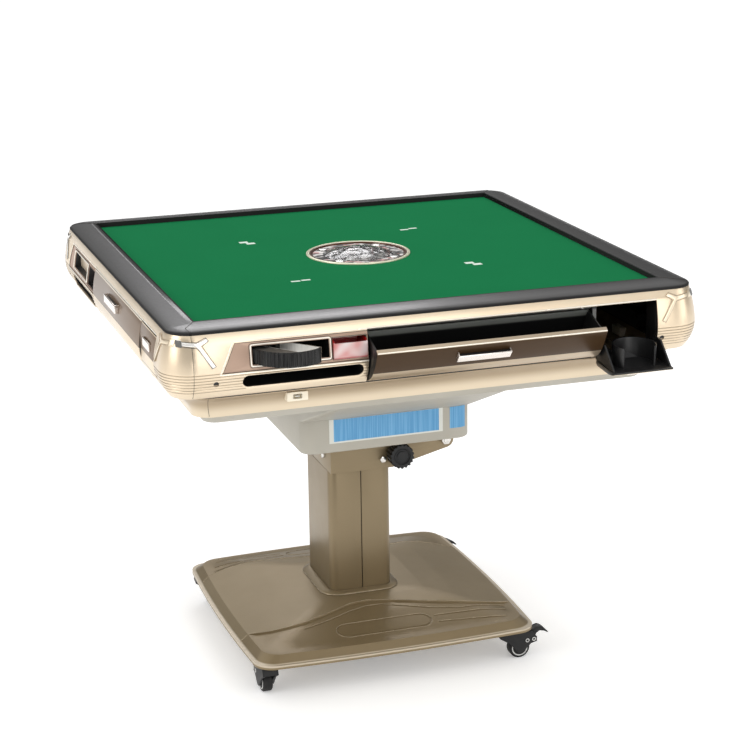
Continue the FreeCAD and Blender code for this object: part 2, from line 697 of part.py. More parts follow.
def drawer_tray():
    """Open black tray behind the front panel."""
    s0 = DRAWER_L + PANEL_GAP + 1
    s1 = DRAWER_R - PANEL_GAP - 1
    outline = [(PANEL_INNER, TRAY_BOTTOM_Z + 4), (PANEL_INNER, TRAY_FRONT_TOP_Z),
               (TRAY_BACK, TRAY_BACK_TOP_Z), (TRAY_BACK + 8, TRAY_BOTTOM_Z), (PANEL_INNER - 8, TRAY_BOTTOM_Z)]
    outer = side_prism(outline, s0, s1)
    w = TRAY_WALL
    hollow = [(PANEL_INNER - w, TRAY_BOTTOM_Z + 4 + w), (PANEL_INNER - w, TRAY_FRONT_TOP_Z + 20),
              (TRAY_BACK + w, TRAY_FRONT_TOP_Z + 20), (TRAY_BACK + w, TRAY_BACK_TOP_Z - 4),
              (TRAY_BACK + 8 + w, TRAY_BOTTOM_Z + w), (PANEL_INNER - 8 - w, TRAY_BOTTOM_Z + w)]
    tray = outer.cut(side_prism(hollow, s0 + w, s1 - w))
    clear = cylinder(DRAWER_BARREL_R, V(s0 - 1, -DRAWER_HINGE_DEPTH, DRAWER_HINGE_Z), X_AXIS, s1 - s0 + 2)
    return tray.cut(clear)


# ---------------------------------------------------------------- cup-holder flap

def cup_flap():
    """Flap with its wings, open ring for the cup, hinge barrel, pins and pull."""
    s0 = DRAWER_R + DIVIDER_W - DRAWER_LAP
    s1 = CUP_R - PART_GAP * 2
    in0 = DRAWER_R + DIVIDER_W + PART_GAP
    top = PANEL_TOP_Z
    middle = (in0 + s1) / 2
    outer = [(min(depth, CUP_PLATE_OUTER), z) for depth, z in plain_outer(CUP_PLATE_BOTTOM_Z, top, 8)]
    plate = side_prism(outer + [(CUP_PLATE_INNER, top), (CUP_PLATE_INNER, CUP_HINGE_Z + CUP_HEEL_H),
                                (JAMB_OUT + 1, CUP_HINGE_Z + 5), (JAMB_OUT + 1, CUP_PLATE_BOTTOM_Z)], s0, s1)
    heel = side_prism([(CUP_HINGE_DEPTH, CUP_HINGE_Z), (JAMB_OUT + 1.5, CUP_PLATE_BOTTOM_Z),
                       (CUP_PLATE_INNER + 1, CUP_HINGE_Z + CUP_HEEL_H),
                       (CUP_HINGE_DEPTH, CUP_HINGE_Z + CUP_BARREL_R)], in0, s1)
    wing_in = CUP_PLATE_INNER - CUP_RING_H
    wing_outline = [(CUP_PLATE_INNER + 1, top - CUP_HEEL_H / 2),
                    (wing_in, CUP_HINGE_Z + CUP_WING_H + CUP_HEEL_H / 2),
                    (wing_in, CUP_HINGE_Z + CUP_HEEL_H * 0.67), (CUP_HINGE_DEPTH, CUP_HINGE_Z),
                    (CUP_PLATE_INNER + 1, CUP_HINGE_Z + CUP_HEEL_H)]
    wings = [side_prism(wing_outline, a, a + CUP_WING_T) for a in (in0, s1 - CUP_WING_T)]
    ring_outer = CUP_RING_R + CUP_RING_WALL
    start = V(middle, -(CUP_PLATE_INNER + 1), CUP_RING_Z)
    ring = cylinder(ring_outer, start, Y_AXIS, CUP_RING_H + 1)
    ring = ring.cut(cylinder(CUP_RING_R, start, Y_AXIS, CUP_RING_H + 2))
    open_half = ring_outer * 1.5 * math.tan(math.radians(CUP_RING_OPEN))
    gap = front_prism([(middle, CUP_RING_Z), (middle + open_half, CUP_RING_Z + ring_outer * 1.5),
                       (middle - open_half, CUP_RING_Z + ring_outer * 1.5)],
                      CUP_PLATE_INNER - CUP_RING_H - 1, CUP_PLATE_INNER)
    barrel = cylinder(CUP_BARREL_R, V(in0, -CUP_HINGE_DEPTH, CUP_HINGE_Z), X_AXIS, s1 - in0)
    pin_start = DRAWER_R + DIVIDER_W / 2 + 2
    pin = cylinder(CUP_PIN_R, V(pin_start, -CUP_HINGE_DEPTH, CUP_HINGE_Z), X_AXIS,
                   CUP_R + JAMB_T - PART_GAP - pin_start)
    lap_foot = side_box(s0 - 1, in0, SKIRT_FOOT, SKIRT_BULGE, CUP_PLATE_BOTTOM_Z - 1, LAP_BOTTOM_Z)
    plate = plate.cut(lap_foot)
    flap = plate.fuse([heel, ring.cut(gap), barrel, pin] + wings).removeSplitter()
    pull_face = min(skirt_depth(CUP_PULL_Z), CUP_PLATE_OUTER) - 1
    pull = cup_pull(middle, CUP_PULL_W, CUP_PULL_Z, pull_face, CUP_PULL_REACH)
    return Part.makeCompound([flap, pull.cut(plate)])


# ---------------------------------------------------------------- swivel ashtray

def ashtray_outline_cut():
    """Everything outside the drum's flat face, in the closed position."""
    return side_box(ASH_S - 2 * ASH_R, ASH_S + 2 * ASH_R, ASH_DEPTH + ASH_FLAT, ASH_DEPTH + 3 * ASH_R,
                    ASH_BOTTOM_Z - 20, ASH_TOP_Z + 20)


def dish_hollow(extra, depth):
    """The dish's space in the drum: a round sector between the flat face and a chord."""
    z = ASH_BOTTOM_Z + ASH_PLAY + ASH_BODY_H - depth
    round_part = cylinder(ASH_R - ASH_DISH_WALL + extra, V(ASH_S, -ASH_DEPTH, z), Z_AXIS, depth + 10)
    band = side_box(ASH_S - ASH_R, ASH_S + ASH_R, ASH_DEPTH - ASH_DISH_CHORD - extra,
                    ASH_DEPTH + ASH_FLAT - ASH_DISH_WALL + extra, z, z + depth + 10)
    grip = side_box(ASH_S + ASH_GRIP_L - ASH_DISH_WALL - extra, ASH_S + 2 * ASH_R,
                    ASH_DEPTH + ASH_FLAT - ASH_GRIP_DEPTH - ASH_DISH_WALL - extra, ASH_DEPTH + ASH_R,
                    z - 1, z + depth + 11)
    return round_part.common(band).cut(grip)


def ashtray_drum():
    """Ribbed drum with a flat face, a finger recess and pivot pins, closed."""
    z0 = ASH_BOTTOM_Z + ASH_PLAY
    drum = cylinder(ASH_R - ASH_RIB_R, V(ASH_S, -ASH_DEPTH, z0), Z_AXIS, ASH_BODY_H)
    for index in range(ASH_RIB_COUNT):
        angle = math.radians(12 + 156.0 * index / (ASH_RIB_COUNT - 1))
        rib_x = ASH_S + (ASH_R - ASH_RIB_R) * math.cos(angle)
        rib_y = -ASH_DEPTH + (ASH_R - ASH_RIB_R) * math.sin(angle)
        rib = box(-ASH_RIB_R, ASH_RIB_R, -ASH_RIB_R, ASH_RIB_R, z0 + 0.8, z0 + ASH_BODY_H - 2.5)
        rib = rib.rotated(V(0, 0, 0), Z_AXIS, math.degrees(angle) + 45).translated(V(rib_x, rib_y, 0))
        drum = drum.fuse(rib)
    drum = drum.cut(ashtray_outline_cut())
    grip = side_box(ASH_S + ASH_GRIP_L, ASH_S + 2 * ASH_R, ASH_DEPTH + ASH_FLAT - ASH_GRIP_DEPTH,
                    ASH_DEPTH + ASH_R, z0 + 2, z0 + ASH_BODY_H + 1)
    drum = drum.cut(grip).cut(dish_hollow(0, ASH_DISH_DEPTH))
    pin = cylinder(ASH_PIN_R, V(ASH_S, -ASH_DEPTH, ASH_BOTTOM_Z - ASH_PIN_DEPTH), Z_AXIS,
                   ASH_PIN_DEPTH + ASH_PLAY + 1)
    return drum.fuse(pin)


def ashtray_dish():
    """Polished sheet pan let into the drum."""
    outer = dish_hollow(0, ASH_DISH_DEPTH)
    inner = dish_hollow(-ASH_DISH_SHEET, ASH_DISH_DEPTH - ASH_DISH_SHEET)
    top = ASH_BOTTOM_Z + ASH_PLAY + ASH_BODY_H
    above = box(-2 * SKIRT_BULGE, 2 * SKIRT_BULGE, -2 * SKIRT_BULGE, 0, top, top + 50)
    return outer.cut(inner).cut(above)


# ---------------------------------------------------------------- chip bin

def chip_bin(front):
    """Open-topped pull-out bin with a low front, its front face at the given depth."""
    s0 = BIN_L + PART_GAP
    s1 = BIN_R - PART_GAP
    z0 = BIN_BOTTOM_Z + BIN_REST_H
    back = front - BIN_LENGTH
    outer = side_prism([(front, z0), (front, z0 + BIN_FRONT_H), (front - 9, z0 + BIN_FRONT_H + 5),
                        (back, z0 + BIN_FRONT_H + 5), (back, z0)], s0, s1)
    w = BIN_WALL
    hollow = side_box(s0 + w, s1 - w, back + w, front - w, z0 + w, BIN_TOP_Z + 20)
    return outer.cut(hollow)


# ---------------------------------------------------------------- fixed top pieces

def edge_rails():
    """Four crowned rails round the play field, each wrapping its right-hand corner."""
    sections = ((RAIL_HALF, 0.0), (RAIL_HALF + 0.5, RAIL_EDGE_H), (RAIL_HALF - 2.5, RAIL_SHOULDER_H),
                (RAIL_HALF - 14.0, RAIL_CROWN_H - 2.0), (CORNER_CORE + 2.0, RAIL_CROWN_H))
    wires = [rounded_square(half, CORNER_CORE, RAIL_BASE_Z + rise) for half, rise in sections]
    slab = Part.makeLoft(wires, True, True)
    inner = RAIL_HALF - RAIL_WIDTH
    field = box(-inner, inner, -inner, inner, RAIL_BASE_Z - 1, RAIL_BASE_Z + 2 * RAIL_CROWN_H)
    frame = slab.cut(field)
    reach = RAIL_WIDTH + 20
    lean = SEAM_RAKE * reach / (RAIL_WIDTH + 6)
    corners = [V(-inner, -inner, 0), V(-inner - lean, -inner - reach, 0),
               V(inner + reach, -inner - reach, 0), V(inner + reach, -inner - lean, 0), V(inner, -inner, 0)]
    sector = polygon_face(corners).extrude(V(0, 0, RAIL_BASE_Z + 50))
    rail = frame.common(sector)
    return Part.makeCompound([rail.rotated(V(0, 0, 0), Z_AXIS, 90.0 * turn) for turn in range(4)])


def play_board():
    """Board that carries the cloth, with the round hole for the lifting unit."""
    z0 = RAIL_BASE_Z - BOARD_T
    outline = Part.Face(rounded_square(BOARD_HALF, CORNER_CORE, z0))
    board = outline.extrude(V(0, 0, BOARD_T))
    return board.cut(cylinder(LIFT_HOLE_R, V(0, 0, z0 - 1), Z_AXIS, BOARD_T + 2))


def play_cloth():
    """Cloth on the board, inside the rails."""
    half = RAIL_HALF - RAIL_WIDTH - CLOTH_GAP
    cloth = box(-half, half, -half, half, RAIL_BASE_Z, RAIL_BASE_Z + CLOTH_T)
    hole = cylinder(LIFT_RING_R + CLOTH_GAP, V(0, 0, RAIL_BASE_Z - 1), Z_AXIS, CLOTH_T + 2)
    return cloth.cut(hole)


def cover_points(inset):
    """Outer curve of the lower cover, hollow towards the foot."""
    depth_span = COVER_TOP_HALF - COVER_FOOT_HALF
    rise = SKIRT_BOTTOM_Z - FLANGE_T - COVER_FOOT_Z
    points = []
    for step in range(7):
        t = step / 6.0
        depth = COVER_FOOT_HALF + depth_span * (1 - math.cos(t * math.pi / 2)) ** 0.9
        points.append((depth - inset, COVER_FOOT_Z + rise * math.sin(t * math.pi / 2) ** 1.1))
    return points


def usb_block(width, height, depth0, depth1):
    """A block about the charging port's axis."""
    z0 = USB_Z - height / 2
    return side_box(USB_S - width / 2, USB_S + width / 2, depth0, depth1, z0, z0 + height)


def lower_cover():
    """Ring under the side mouldings, with a top and a bottom flange."""
    top = SKIRT_BOTTOM_Z
    outer = cover_points(0) + [(COVER_TOP_HALF, top)]
    inner = [(COVER_FLANGE_IN, top), (COVER_FLANGE_IN, top - FLANGE_T)]
    back = [(depth, z - 1.5) for depth, z in reversed(cover_points(COVER_T)) if depth < COVER_FLANGE_IN - 2]
    back = [(depth, max(z, COVER_FOOT_Z + COVER_T)) for depth, z in back]
    foot = [(COVER_FOOT_IN, COVER_FOOT_Z + COVER_T), (COVER_FOOT_IN, COVER_FOOT_Z)]
    ring = ring_from_profile(outer + inner + back + foot, COVER_CORE)
    pocket = usb_block(USB_W, USB_H, USB_BACK, USB_FACE + 20)
    for side in SIDES:
        ring = ring.cut(on_side(pocket, side))
    return ring


def chassis_pan():
    """Shallow sheet pan, and the chute in its floor that leads to the control box."""
    top_z = COVER_FOOT_Z
    floor_z = top_z - PAN_H
    low_half = PAN_HALF - PAN_DRAFT
    outer = Part.makeLoft([rounded_wire(PAN_HALF, PAN_HALF, PAN_CORNER, top_z),
                           rounded_wire(low_half, low_half, PAN_CORNER, floor_z)], True, True)
    high_in = PAN_HALF - PAN_T
    low_in = low_half - PAN_T
    inner = Part.makeLoft([rounded_wire(high_in, high_in, PAN_CORNER, top_z),
                           rounded_wire(low_in, low_in, PAN_CORNER, floor_z + PAN_T)], True, True)
    mouth_d = low_half - CHUTE_SETBACK
    foot = BOX_HALF + PAN_T
    chute = Part.makeLoft([rounded_wire(CHUTE_HALF_W, mouth_d, CHUTE_CORNER, floor_z),
                           rounded_wire(foot, foot, CHUTE_CORNER, BOX_TOP_Z)], True, True)
    wall = PAN_T * 1.5
    space = Part.makeLoft([rounded_wire(CHUTE_HALF_W - PAN_T, mouth_d - wall, CHUTE_CORNER, floor_z),
                           rounded_wire(foot - PAN_T, foot - wall, CHUTE_CORNER, BOX_TOP_Z)], True, True)
    drop = rounded_block(CHUTE_HALF_W - PAN_T, mouth_d - wall, CHUTE_CORNER, 0, 0, floor_z - 1, top_z)
    dish = outer.cut(inner).cut(drop)
    return dish.fuse(chute.cut(space)).removeSplitter()


def rounded_wire(half_x, half_y, radius, z):
    """Outline of a rounded rectangle about the table's middle."""
    return rounded_rect_face(half_x, half_y, radius, 0, 0, z).OuterWire


def control_box():
    """Sheet box with rounded corners and the lifting unit's guide tube."""
    outer = rounded_block(BOX_HALF, BOX_HALF, BOX_CORNER, 0, 0, BOX_BOTTOM_Z, BOX_TOP_Z)
    outer = outer.makeFillet(BOX_EDGE, [e for e in outer.Edges if e.BoundBox.ZMax < BOX_BOTTOM_Z + 0.01])
    inner = rounded_block(BOX_HALF - BOX_T, BOX_HALF - BOX_T, BOX_CORNER - BOX_T, 0, 0,
                          BOX_BOTTOM_Z + BOX_T, BOX_TOP_Z + 1)
    tube_z = BOX_BOTTOM_Z + BOX_T
    tube = cylinder(LIFT_POST_R + RUNNING + GUIDE_WALL, V(0, 0, tube_z), Z_AXIS, GUIDE_TOP_Z - tube_z)
    bore = cylinder(LIFT_POST_R + RUNNING, V(0, 0, tube_z), Z_AXIS, GUIDE_TOP_Z - tube_z + 1)
    return outer.cut(inner).fuse(tube).cut(bore)


def corner_trims():
    """Raised Y-shaped trims at both ends of each side."""
    bars = []
    node_s = -CORNER_CORE
    node_z = RAIL_BASE_Z - TRIM_NODE_DROP
    pad_s = node_s - TRIM_BAR
    pad_z = node_z + TRIM_BAR_RISE
    ends = ((pad_s, pad_z), (node_s + TRIM_ARM, node_z + TRIM_ARM_RISE),
            (node_s + TRIM_LEG, node_z - TRIM_LEG_FALL))
    for end in ends:
        bars.append(trim_bar((node_s, node_z), end))
    half_w = TRIM_PAD_W / 2
    half_h = TRIM_PAD_H / 2
    pad = front_prism([(pad_s - half_w, pad_z - half_h), (pad_s + half_w, pad_z - half_h),
                       (pad_s + half_w, pad_z + half_h), (pad_s - half_w, pad_z + half_h)],
                      CORNER_CORE, 2 * SKIRT_BULGE)
    left = bars[0].fuse(bars[1:] + [pad]).removeSplitter()
    right = left.mirror(V(0, 0, 0), X_AXIS)
    section = plain_outer(GROOVE_TOP_Z + GROOVE_PITCH, RAIL_BASE_Z, 5)
    skin = section + [(depth + TRIM_T, z) for depth, z in reversed(section)]
    ring = ring_from_profile(skin, CORNER_CORE)
    reach = 2 * SKIRT_BULGE
    below_rail = box(-reach, reach, -reach, 0, 0, RAIL_BASE_Z - 1)
    solids = []
    for side in SIDES:
        for trim in (left, right):
            solids.append(on_side(trim.common(ring).common(below_rail), side))
    return Part.makeCompound(solids)


def trim_bar(start, end):
    """A straight bar of the trim between two (s, z) points."""
    ds = end[0] - start[0]
    dz = end[1] - start[1]
    length = math.hypot(ds, dz)
    ns = -dz / length * TRIM_W / 2
    nz = ds / length * TRIM_W / 2
    back = TRIM_W / 2 / length
    a = (start[0] - ds * back, start[1] - dz * back)
    outline = [(a[0] + ns, a[1] + nz), (end[0] + ns, end[1] + nz),
               (end[0] - ns, end[1] - nz), (a[0] - ns, a[1] - nz)]
    return front_prism(outline, CORNER_CORE, 2 * SKIRT_BULGE)


def usb_plates():
    """One charging-port plate on each side of the lower cover."""
    plate = usb_block(USB_W, USB_H, USB_BACK, USB_FACE)
    port = plate.cut(usb_block(USB_SOCKET_W, USB_SOCKET_H, USB_FACE - USB_SOCKET_DEPTH, USB_FACE + 1))
    return Part.makeCompound([on_side(port, side) for side in SIDES])


# ---------------------------------------------------------------- lifting dice unit

def lift_disc():
    """Rim ring, body, dice tray, buttons and guide post of the lifting unit."""
    z0 = RAIL_BASE_Z
    ring = cylinder(LIFT_RING_R, V(0, 0, z0), Z_AXIS, LIFT_RING_H)
    body = cylinder(LIFT_BODY_R, V(0, 0, z0 - LIFT_BODY_H), Z_AXIS, LIFT_BODY_H)
    post = cylinder(LIFT_POST_R, V(0, 0, z0 - LIFT_BODY_H - LIFT_POST_L), Z_AXIS, LIFT_POST_L)
    disc = ring.fuse([body, post])
    face_z = z0 + LIFT_FACE_H
    disc = disc.cut(cylinder(LIFT_RING_R - LIFT_RING_W, V(0, 0, face_z), Z_AXIS, LIFT_RING_H))
    disc = disc.cut(cylinder(LIFT_TRAY_R, V(0, 0, face_z - LIFT_TRAY_DEPTH), Z_AXIS, LIFT_TRAY_DEPTH + 1))
    for index in range(4):
        angle = math.radians(45 + 90 * index)
        spot = V(BUTTON_RING_R * math.cos(angle), BUTTON_RING_R * math.sin(angle), face_z - 0.5)
        disc = disc.fuse(cylinder(BUTTON_R, spot, Z_AXIS, BUTTON_H + 0.5))
    return disc


def dice_dome():
    """Clear low dome over the dice tray, turned from an arc of short bands."""
    face_z = RAIL_BASE_Z + LIFT_FACE_H
    profile = dome_arc(DOME_R, DOME_H, face_z) + dome_arc(DOME_R - DOME_T, DOME_H - DOME_T, face_z)[::-1]
    return polygon_face([V(r, 0, z) for r, z in profile]).revolve(V(0, 0, 0), Z_AXIS, 360)


def dome_arc(radius, height, z0):
    """Points of a low arc from its rim to the axis."""
    ball = (radius ** 2 + height ** 2) / (2 * height)
    points = []
    for step in range(DOME_BANDS + 1):
        r = radius * (1 - step / DOME_BANDS)
        points.append((r, z0 + height - ball + math.sqrt(ball ** 2 - r ** 2)))
    return points


def dice():
    """Two dice lying in the tray."""
    floor = RAIL_BASE_Z + LIFT_FACE_H - LIFT_TRAY_DEPTH
    solids = []
    for index, turn in enumerate((20.0, 52.0)):
        angle = math.radians(200 + 180 * index)
        die = box(-DIE / 2, DIE / 2, -DIE / 2, DIE / 2, floor, floor + DIE)
        die = die.makeFillet(1.5, [e for e in die.Edges if e.BoundBox.ZLength > DIE / 2])
        die = die.rotated(V(0, 0, 0), Z_AXIS, turn)
        solids.append(die.translated(V(DIE_SPREAD * math.cos(angle), DIE_SPREAD * math.sin(angle), 0)))
    return Part.makeCompound(solids)


# ---------------------------------------------------------------- fold joint

def bracket_outline():
    """Side view of a bracket cheek, tapering to the pivot eye."""
    return [(BRACKET_LEFT_X, BRACKET_BOTTOM_Z), (BRACKET_RIGHT_X, BRACKET_BOTTOM_Z),
            (PIVOT_X + 6, PIVOT_Z - BRACKET_EYE_R + 1), (PIVOT_X, PIVOT_Z + BRACKET_EYE_R),
            (PIVOT_X - 22, BRACKET_TOP_Z), (BRACKET_LEFT_X, BRACKET_TOP_Z)]


def xz_prism(outline, y0, y1):
    """An (x, z) outline drawn along Y."""
    face = polygon_face([V(x, y0, z) for x, z in outline])
    return face.extrude(V(0, y1 - y0, 0))


def fold_bracket():
    """Channel on the column: two cheeks, a floor and an end wall."""
    solid = None
    for sign in (-1, 1):
        y0 = sign * BRACKET_HALF
        y1 = sign * (BRACKET_HALF - BRACKET_T)
        cheek = xz_prism(bracket_outline(), min(y0, y1), max(y0, y1))
        eye = cylinder(BRACKET_EYE_R, V(PIVOT_X, min(y0, y1), PIVOT_Z), Y_AXIS, BRACKET_T)
        cheek = cheek.fuse(eye)
        solid = cheek if solid is None else solid.fuse(cheek)
    half = BRACKET_HALF - BRACKET_T
    floor = box(BRACKET_LEFT_X, BRACKET_RIGHT_X - 4, -half, half, BRACKET_BOTTOM_Z,
                BRACKET_BOTTOM_Z + BRACKET_T)
    end = box(BRACKET_LEFT_X, BRACKET_LEFT_X + BRACKET_T, -half, half, BRACKET_BOTTOM_Z, BRACKET_TOP_Z)
    solid = solid.fuse([floor, end])
    pivot_start = V(PIVOT_X, -BRACKET_HALF - 1, PIVOT_Z)
    solid = solid.cut(cylinder(PIVOT_R, pivot_start, Y_AXIS, 2 * BRACKET_HALF + 2))
    stud = cylinder(KNOB_STUD_R + RUNNING, V(KNOB_X, -BRACKET_HALF - 1, KNOB_Z), Y_AXIS, BRACKET_T + 2)
    return solid.cut(stud).removeSplitter()


def hex_prism(across, start, direction, length):
    """A hexagonal head or nut."""
    radius = across / math.sqrt(3)
    frame = FreeCAD.Rotation(Z_AXIS, direction)
    points = []
    for index in range(6):
        angle = math.radians(60 * index)
        points.append(start + frame.multVec(V(radius * math.cos(angle), radius * math.sin(angle), 0)))
    return polygon_face(points).extrude(V(direction).multiply(length))


def bracket_bolts():
    """Pivot bolt with head and nut, and the bolts that hold the channel."""
    front = -BRACKET_HALF
    reach = BRACKET_HALF + PIVOT_HEX_H + 1
    pivot = cylinder(PIVOT_R, V(PIVOT_X, -reach, PIVOT_Z), Y_AXIS, 2 * reach)
    head = hex_prism(PIVOT_HEX, V(PIVOT_X, front, PIVOT_Z), V(0, -1, 0), PIVOT_HEX_H)
    nut = hex_prism(PIVOT_HEX, V(PIVOT_X, -front, PIVOT_Z), Y_AXIS, PIVOT_HEX_H)
    solids = [pivot.fuse([head, nut])]
    bolt_z = PIVOT_Z - BOLT_DROP
    for sign in (-1, 1):
        cheek_spot = V(KNOB_X - LUG_DROP, sign * BRACKET_HALF, PIVOT_Z - LUG_DROP + BOLT_HEX_H)
        solids.append(hex_prism(BOLT_HEX, cheek_spot, V(0, sign, 0), BOLT_HEX_H))
        end_spot = V(BRACKET_LEFT_X, sign * BOLT_Y, bolt_z)
        solids.append(hex_prism(BOLT_HEX, end_spot, V(-1, 0, 0), BOLT_HEX_H))
    return Part.makeCompound(solids)


def hinge_plate():
    """Plate under the control box with two lugs between the bracket's cheeks."""
    z1 = BOX_BOTTOM_Z
    z0 = z1 - HINGE_PLATE_T
    outer = BRACKET_HALF - BRACKET_T - LUG_GAP
    plate = box(BRACKET_LEFT_X - 12, PIVOT_X + BRACKET_EYE_R - 2,
                -BRACKET_HALF - 6, BRACKET_HALF + 6, z0, z1)
    outline = [(LUG_LEFT_X, z0 + 1), (LUG_LEFT_X, LUG_BOTTOM_Z), (KNOB_X + 30, LUG_BOTTOM_Z),
               (PIVOT_X, PIVOT_Z - BRACKET_EYE_R + 2), (PIVOT_X + BRACKET_EYE_R - 2, PIVOT_Z),
               (PIVOT_X + BRACKET_EYE_R - 2, z0 + 1)]
    for sign in (-1, 1):
        y0 = sign * outer
        y1 = sign * (outer - LUG_T)
        lug = xz_prism(outline, min(y0, y1), max(y0, y1))
        plate = plate.fuse(lug)
    bore = cylinder(PIVOT_R + RUNNING, V(PIVOT_X, -BRACKET_HALF, PIVOT_Z), Y_AXIS, 2 * BRACKET_HALF)
    return plate.cut(bore).removeSplitter()


def lock_knob():
    """Fluted hand wheel whose stud clamps the front lug."""
    face = BRACKET_HALF + KNOB_STANDOFF
    start = V(KNOB_X, -face, KNOB_Z)
    knob = cylinder(KNOB_R, start, V(0, -1, 0), KNOB_T)
    for index in range(KNOB_FLUTES):
        angle = 2 * math.pi * index / KNOB_FLUTES
        spot = start + V(KNOB_R * math.cos(angle), 1, KNOB_R * math.sin(angle))
        knob = knob.cut(Part.makeCylinder(KNOB_FLUTE_R, KNOB_T + 2, spot, V(0, -1, 0)))
    recess = start + V(0, -KNOB_T + 3, 0)
    knob = knob.cut(cylinder(KNOB_R * 0.68, recess, V(0, -1, 0), 4))
    knob = knob.fuse(cylinder(KNOB_R * 0.42, recess, V(0, -1, 0), 2))
    hub = cylinder(KNOB_R * 0.4, V(KNOB_X, -BRACKET_HALF - PART_GAP, KNOB_Z), V(0, -1, 0), KNOB_STANDOFF)
    tip = BRACKET_HALF - BRACKET_T - LUG_GAP + 0.3
    stud = cylinder(KNOB_STUD_R, V(KNOB_X, -tip, KNOB_Z), V(0, -1, 0), face - tip + 2)
    return knob.fuse([hub, stud])


# ---------------------------------------------------------------- column

def column_ring(half_w, half_d, corner, wall, z0, z1):
    """A hollow rounded-rectangle tube about the column's middle."""
    outer = rounded_block(half_w, half_d, corner, COLUMN_X, 0, z0, z1)
    inner = rounded_block(half_w - wall, half_d - wall, corner - wall, COLUMN_X, 0, z0 - 1, z1 + 1)
    return outer.cut(inner)


def column_shell(sign):
    """One half of the column's cladding, up to the seam on the front and back."""
    tube = column_ring(COLUMN_HALF_W, COLUMN_HALF_D, COLUMN_CORNER, COLUMN_SHELL_T,
                       COLUMN_FOOT_Z, BRACKET_BOTTOM_Z)
    edge = COLUMN_SEAM_X + sign * COLUMN_SEAM_GAP / 2
    far = edge + sign * 2 * COLUMN_HALF_W
    x0, x1 = sorted((edge, far))
    return tube.common(box(x0, x1, -COLUMN_HALF_D, COLUMN_HALF_D, COLUMN_FOOT_Z, BRACKET_BOTTOM_Z))


def collar_wire(inset, z):
    """Outline of the collar's flange, brought in evenly."""
    half_w = COLUMN_HALF_W + COLLAR_MARGIN_X - inset
    half_d = COLUMN_HALF_D + COLLAR_MARGIN_Y - inset
    return rounded_rect_face(half_w, half_d, COLLAR_CORNER - inset, COLUMN_X, 0, z).OuterWire


def column_collar():
    """Flat flange with a low sloping neck where the column meets the base cover."""
    z0 = BASE_TOP_Z
    z1 = z0 + COLLAR_H
    neck = COLLAR_CHAMFER
    head = rounded_rect_face(COLUMN_HALF_W + neck, COLUMN_HALF_D + neck, COLUMN_CORNER + neck,
                             COLUMN_X, 0, z1)
    outer = Part.makeLoft([collar_wire(0, z0), collar_wire(0, z0 + COLLAR_T - COLLAR_CHAMFER),
                           collar_wire(COLLAR_CHAMFER, z0 + COLLAR_T), head.OuterWire], True, True)
    inner = rounded_block(COLUMN_HALF_W, COLUMN_HALF_D, COLUMN_CORNER, COLUMN_X, 0, z0 - 1, z1 + 1)
    return outer.cut(inner)


# ---------------------------------------------------------------- base

def bulged_square(half, bulge, corner, z):
    """A square with slightly bowed sides and round corners, about the base's middle."""
    edges = []
    core = half - corner
    diagonal = corner * math.sin(math.pi / 4)
    for turn in range(4):
        spin = FreeCAD.Rotation(Z_AXIS, 90.0 * turn)
        start = spin.multVec(V(-core, -half, 0))
        middle = spin.multVec(V(0, -half - bulge, 0))
        end = spin.multVec(V(core, -half, 0))
        corner_mid = spin.multVec(V(core + diagonal, -core - diagonal, 0))
        corner_end = spin.multVec(V(half, -core, 0))
        edges.append(Part.Arc(start, middle, end).toShape())
        edges.append(Part.Arc(end, corner_mid, corner_end).toShape())
    wire = Part.Wire(edges)
    wire.translate(V(BASE_X, 0, z))
    return wire


def dome(drop, grow):
    """The base cover's crowned top, lowered and grown for cutting."""
    shoulder_z = BASE_TOP_Z - BASE_CROWN
    inner = BASE_HALF - BASE_STEP - BASE_BEVEL
    sections = ((inner, 0.0, 1.0), (inner * 0.85, 0.3, 0.9), (inner * 0.62, 0.72, 0.6),
                (inner * 0.4, 1.0, 0.25))
    wires = []
    for half, lift, bow in sections:
        wires.append(bulged_square(half + grow, BASE_BULGE * bow, BASE_CORNER * half / inner,
                                   shoulder_z + BASE_CROWN * lift - drop))
    return Part.makeLoft(wires, True, True)


def base_prism(inset, corner, z0, z1):
    """An upright block with the base's outline, brought in evenly."""
    face = Part.Face(bulged_square(BASE_HALF - inset, BASE_BULGE, corner, z0))
    return face.extrude(V(0, 0, z1 - z0))


def base_cover():
    """Crowned cover with a stepped rim, embossed at front and back, hollow beneath."""
    rim_top = BASE_RIM_Z + BASE_RIM_H
    shoulder_z = BASE_TOP_Z - BASE_CROWN
    rim = base_prism(0, BASE_CORNER, BASE_RIM_Z, rim_top)
    inner = BASE_HALF - BASE_STEP
    step = Part.makeLoft([bulged_square(inner, BASE_BULGE, BASE_CORNER, rim_top),
                          bulged_square(inner - BASE_BEVEL, BASE_BULGE, BASE_CORNER, shoulder_z)], True, True)
    top = dome(0, 0)
    for turn in (0, 180):
        for tool, depth in embossing():
            cutter = tool.cut(dome(depth, 0).fuse(step))
            top = top.cut(cutter.rotated(V(BASE_X, 0, 0), Z_AXIS, turn))
    solid = rim.fuse([step, top])
    frame_top = FRAME_Z + FRAME_T
    sink = BASE_WALL + EMBOSS_DEPTH + 1
    roof_inset = BASE_STEP + BASE_BEVEL + BASE_WALL + 2
    hollow_low = base_prism(FRAME_ROOM, BASE_CORNER - BASE_WALL, BASE_RIM_Z - 1, frame_top)
    hollow_mid = base_prism(roof_inset, BASE_CORNER, BASE_RIM_Z, shoulder_z - sink + 0.5)
    hollow_top = dome(sink, -BASE_WALL - 2)
    solid = solid.cut(hollow_low).cut(hollow_mid).cut(hollow_top)
    post = rounded_block(POST_HALF_W + 1, POST_HALF_D + 1, POST_CORNER, COLUMN_X, 0,
                         BASE_RIM_Z, BASE_TOP_Z + 1)
    return solid.cut(post)


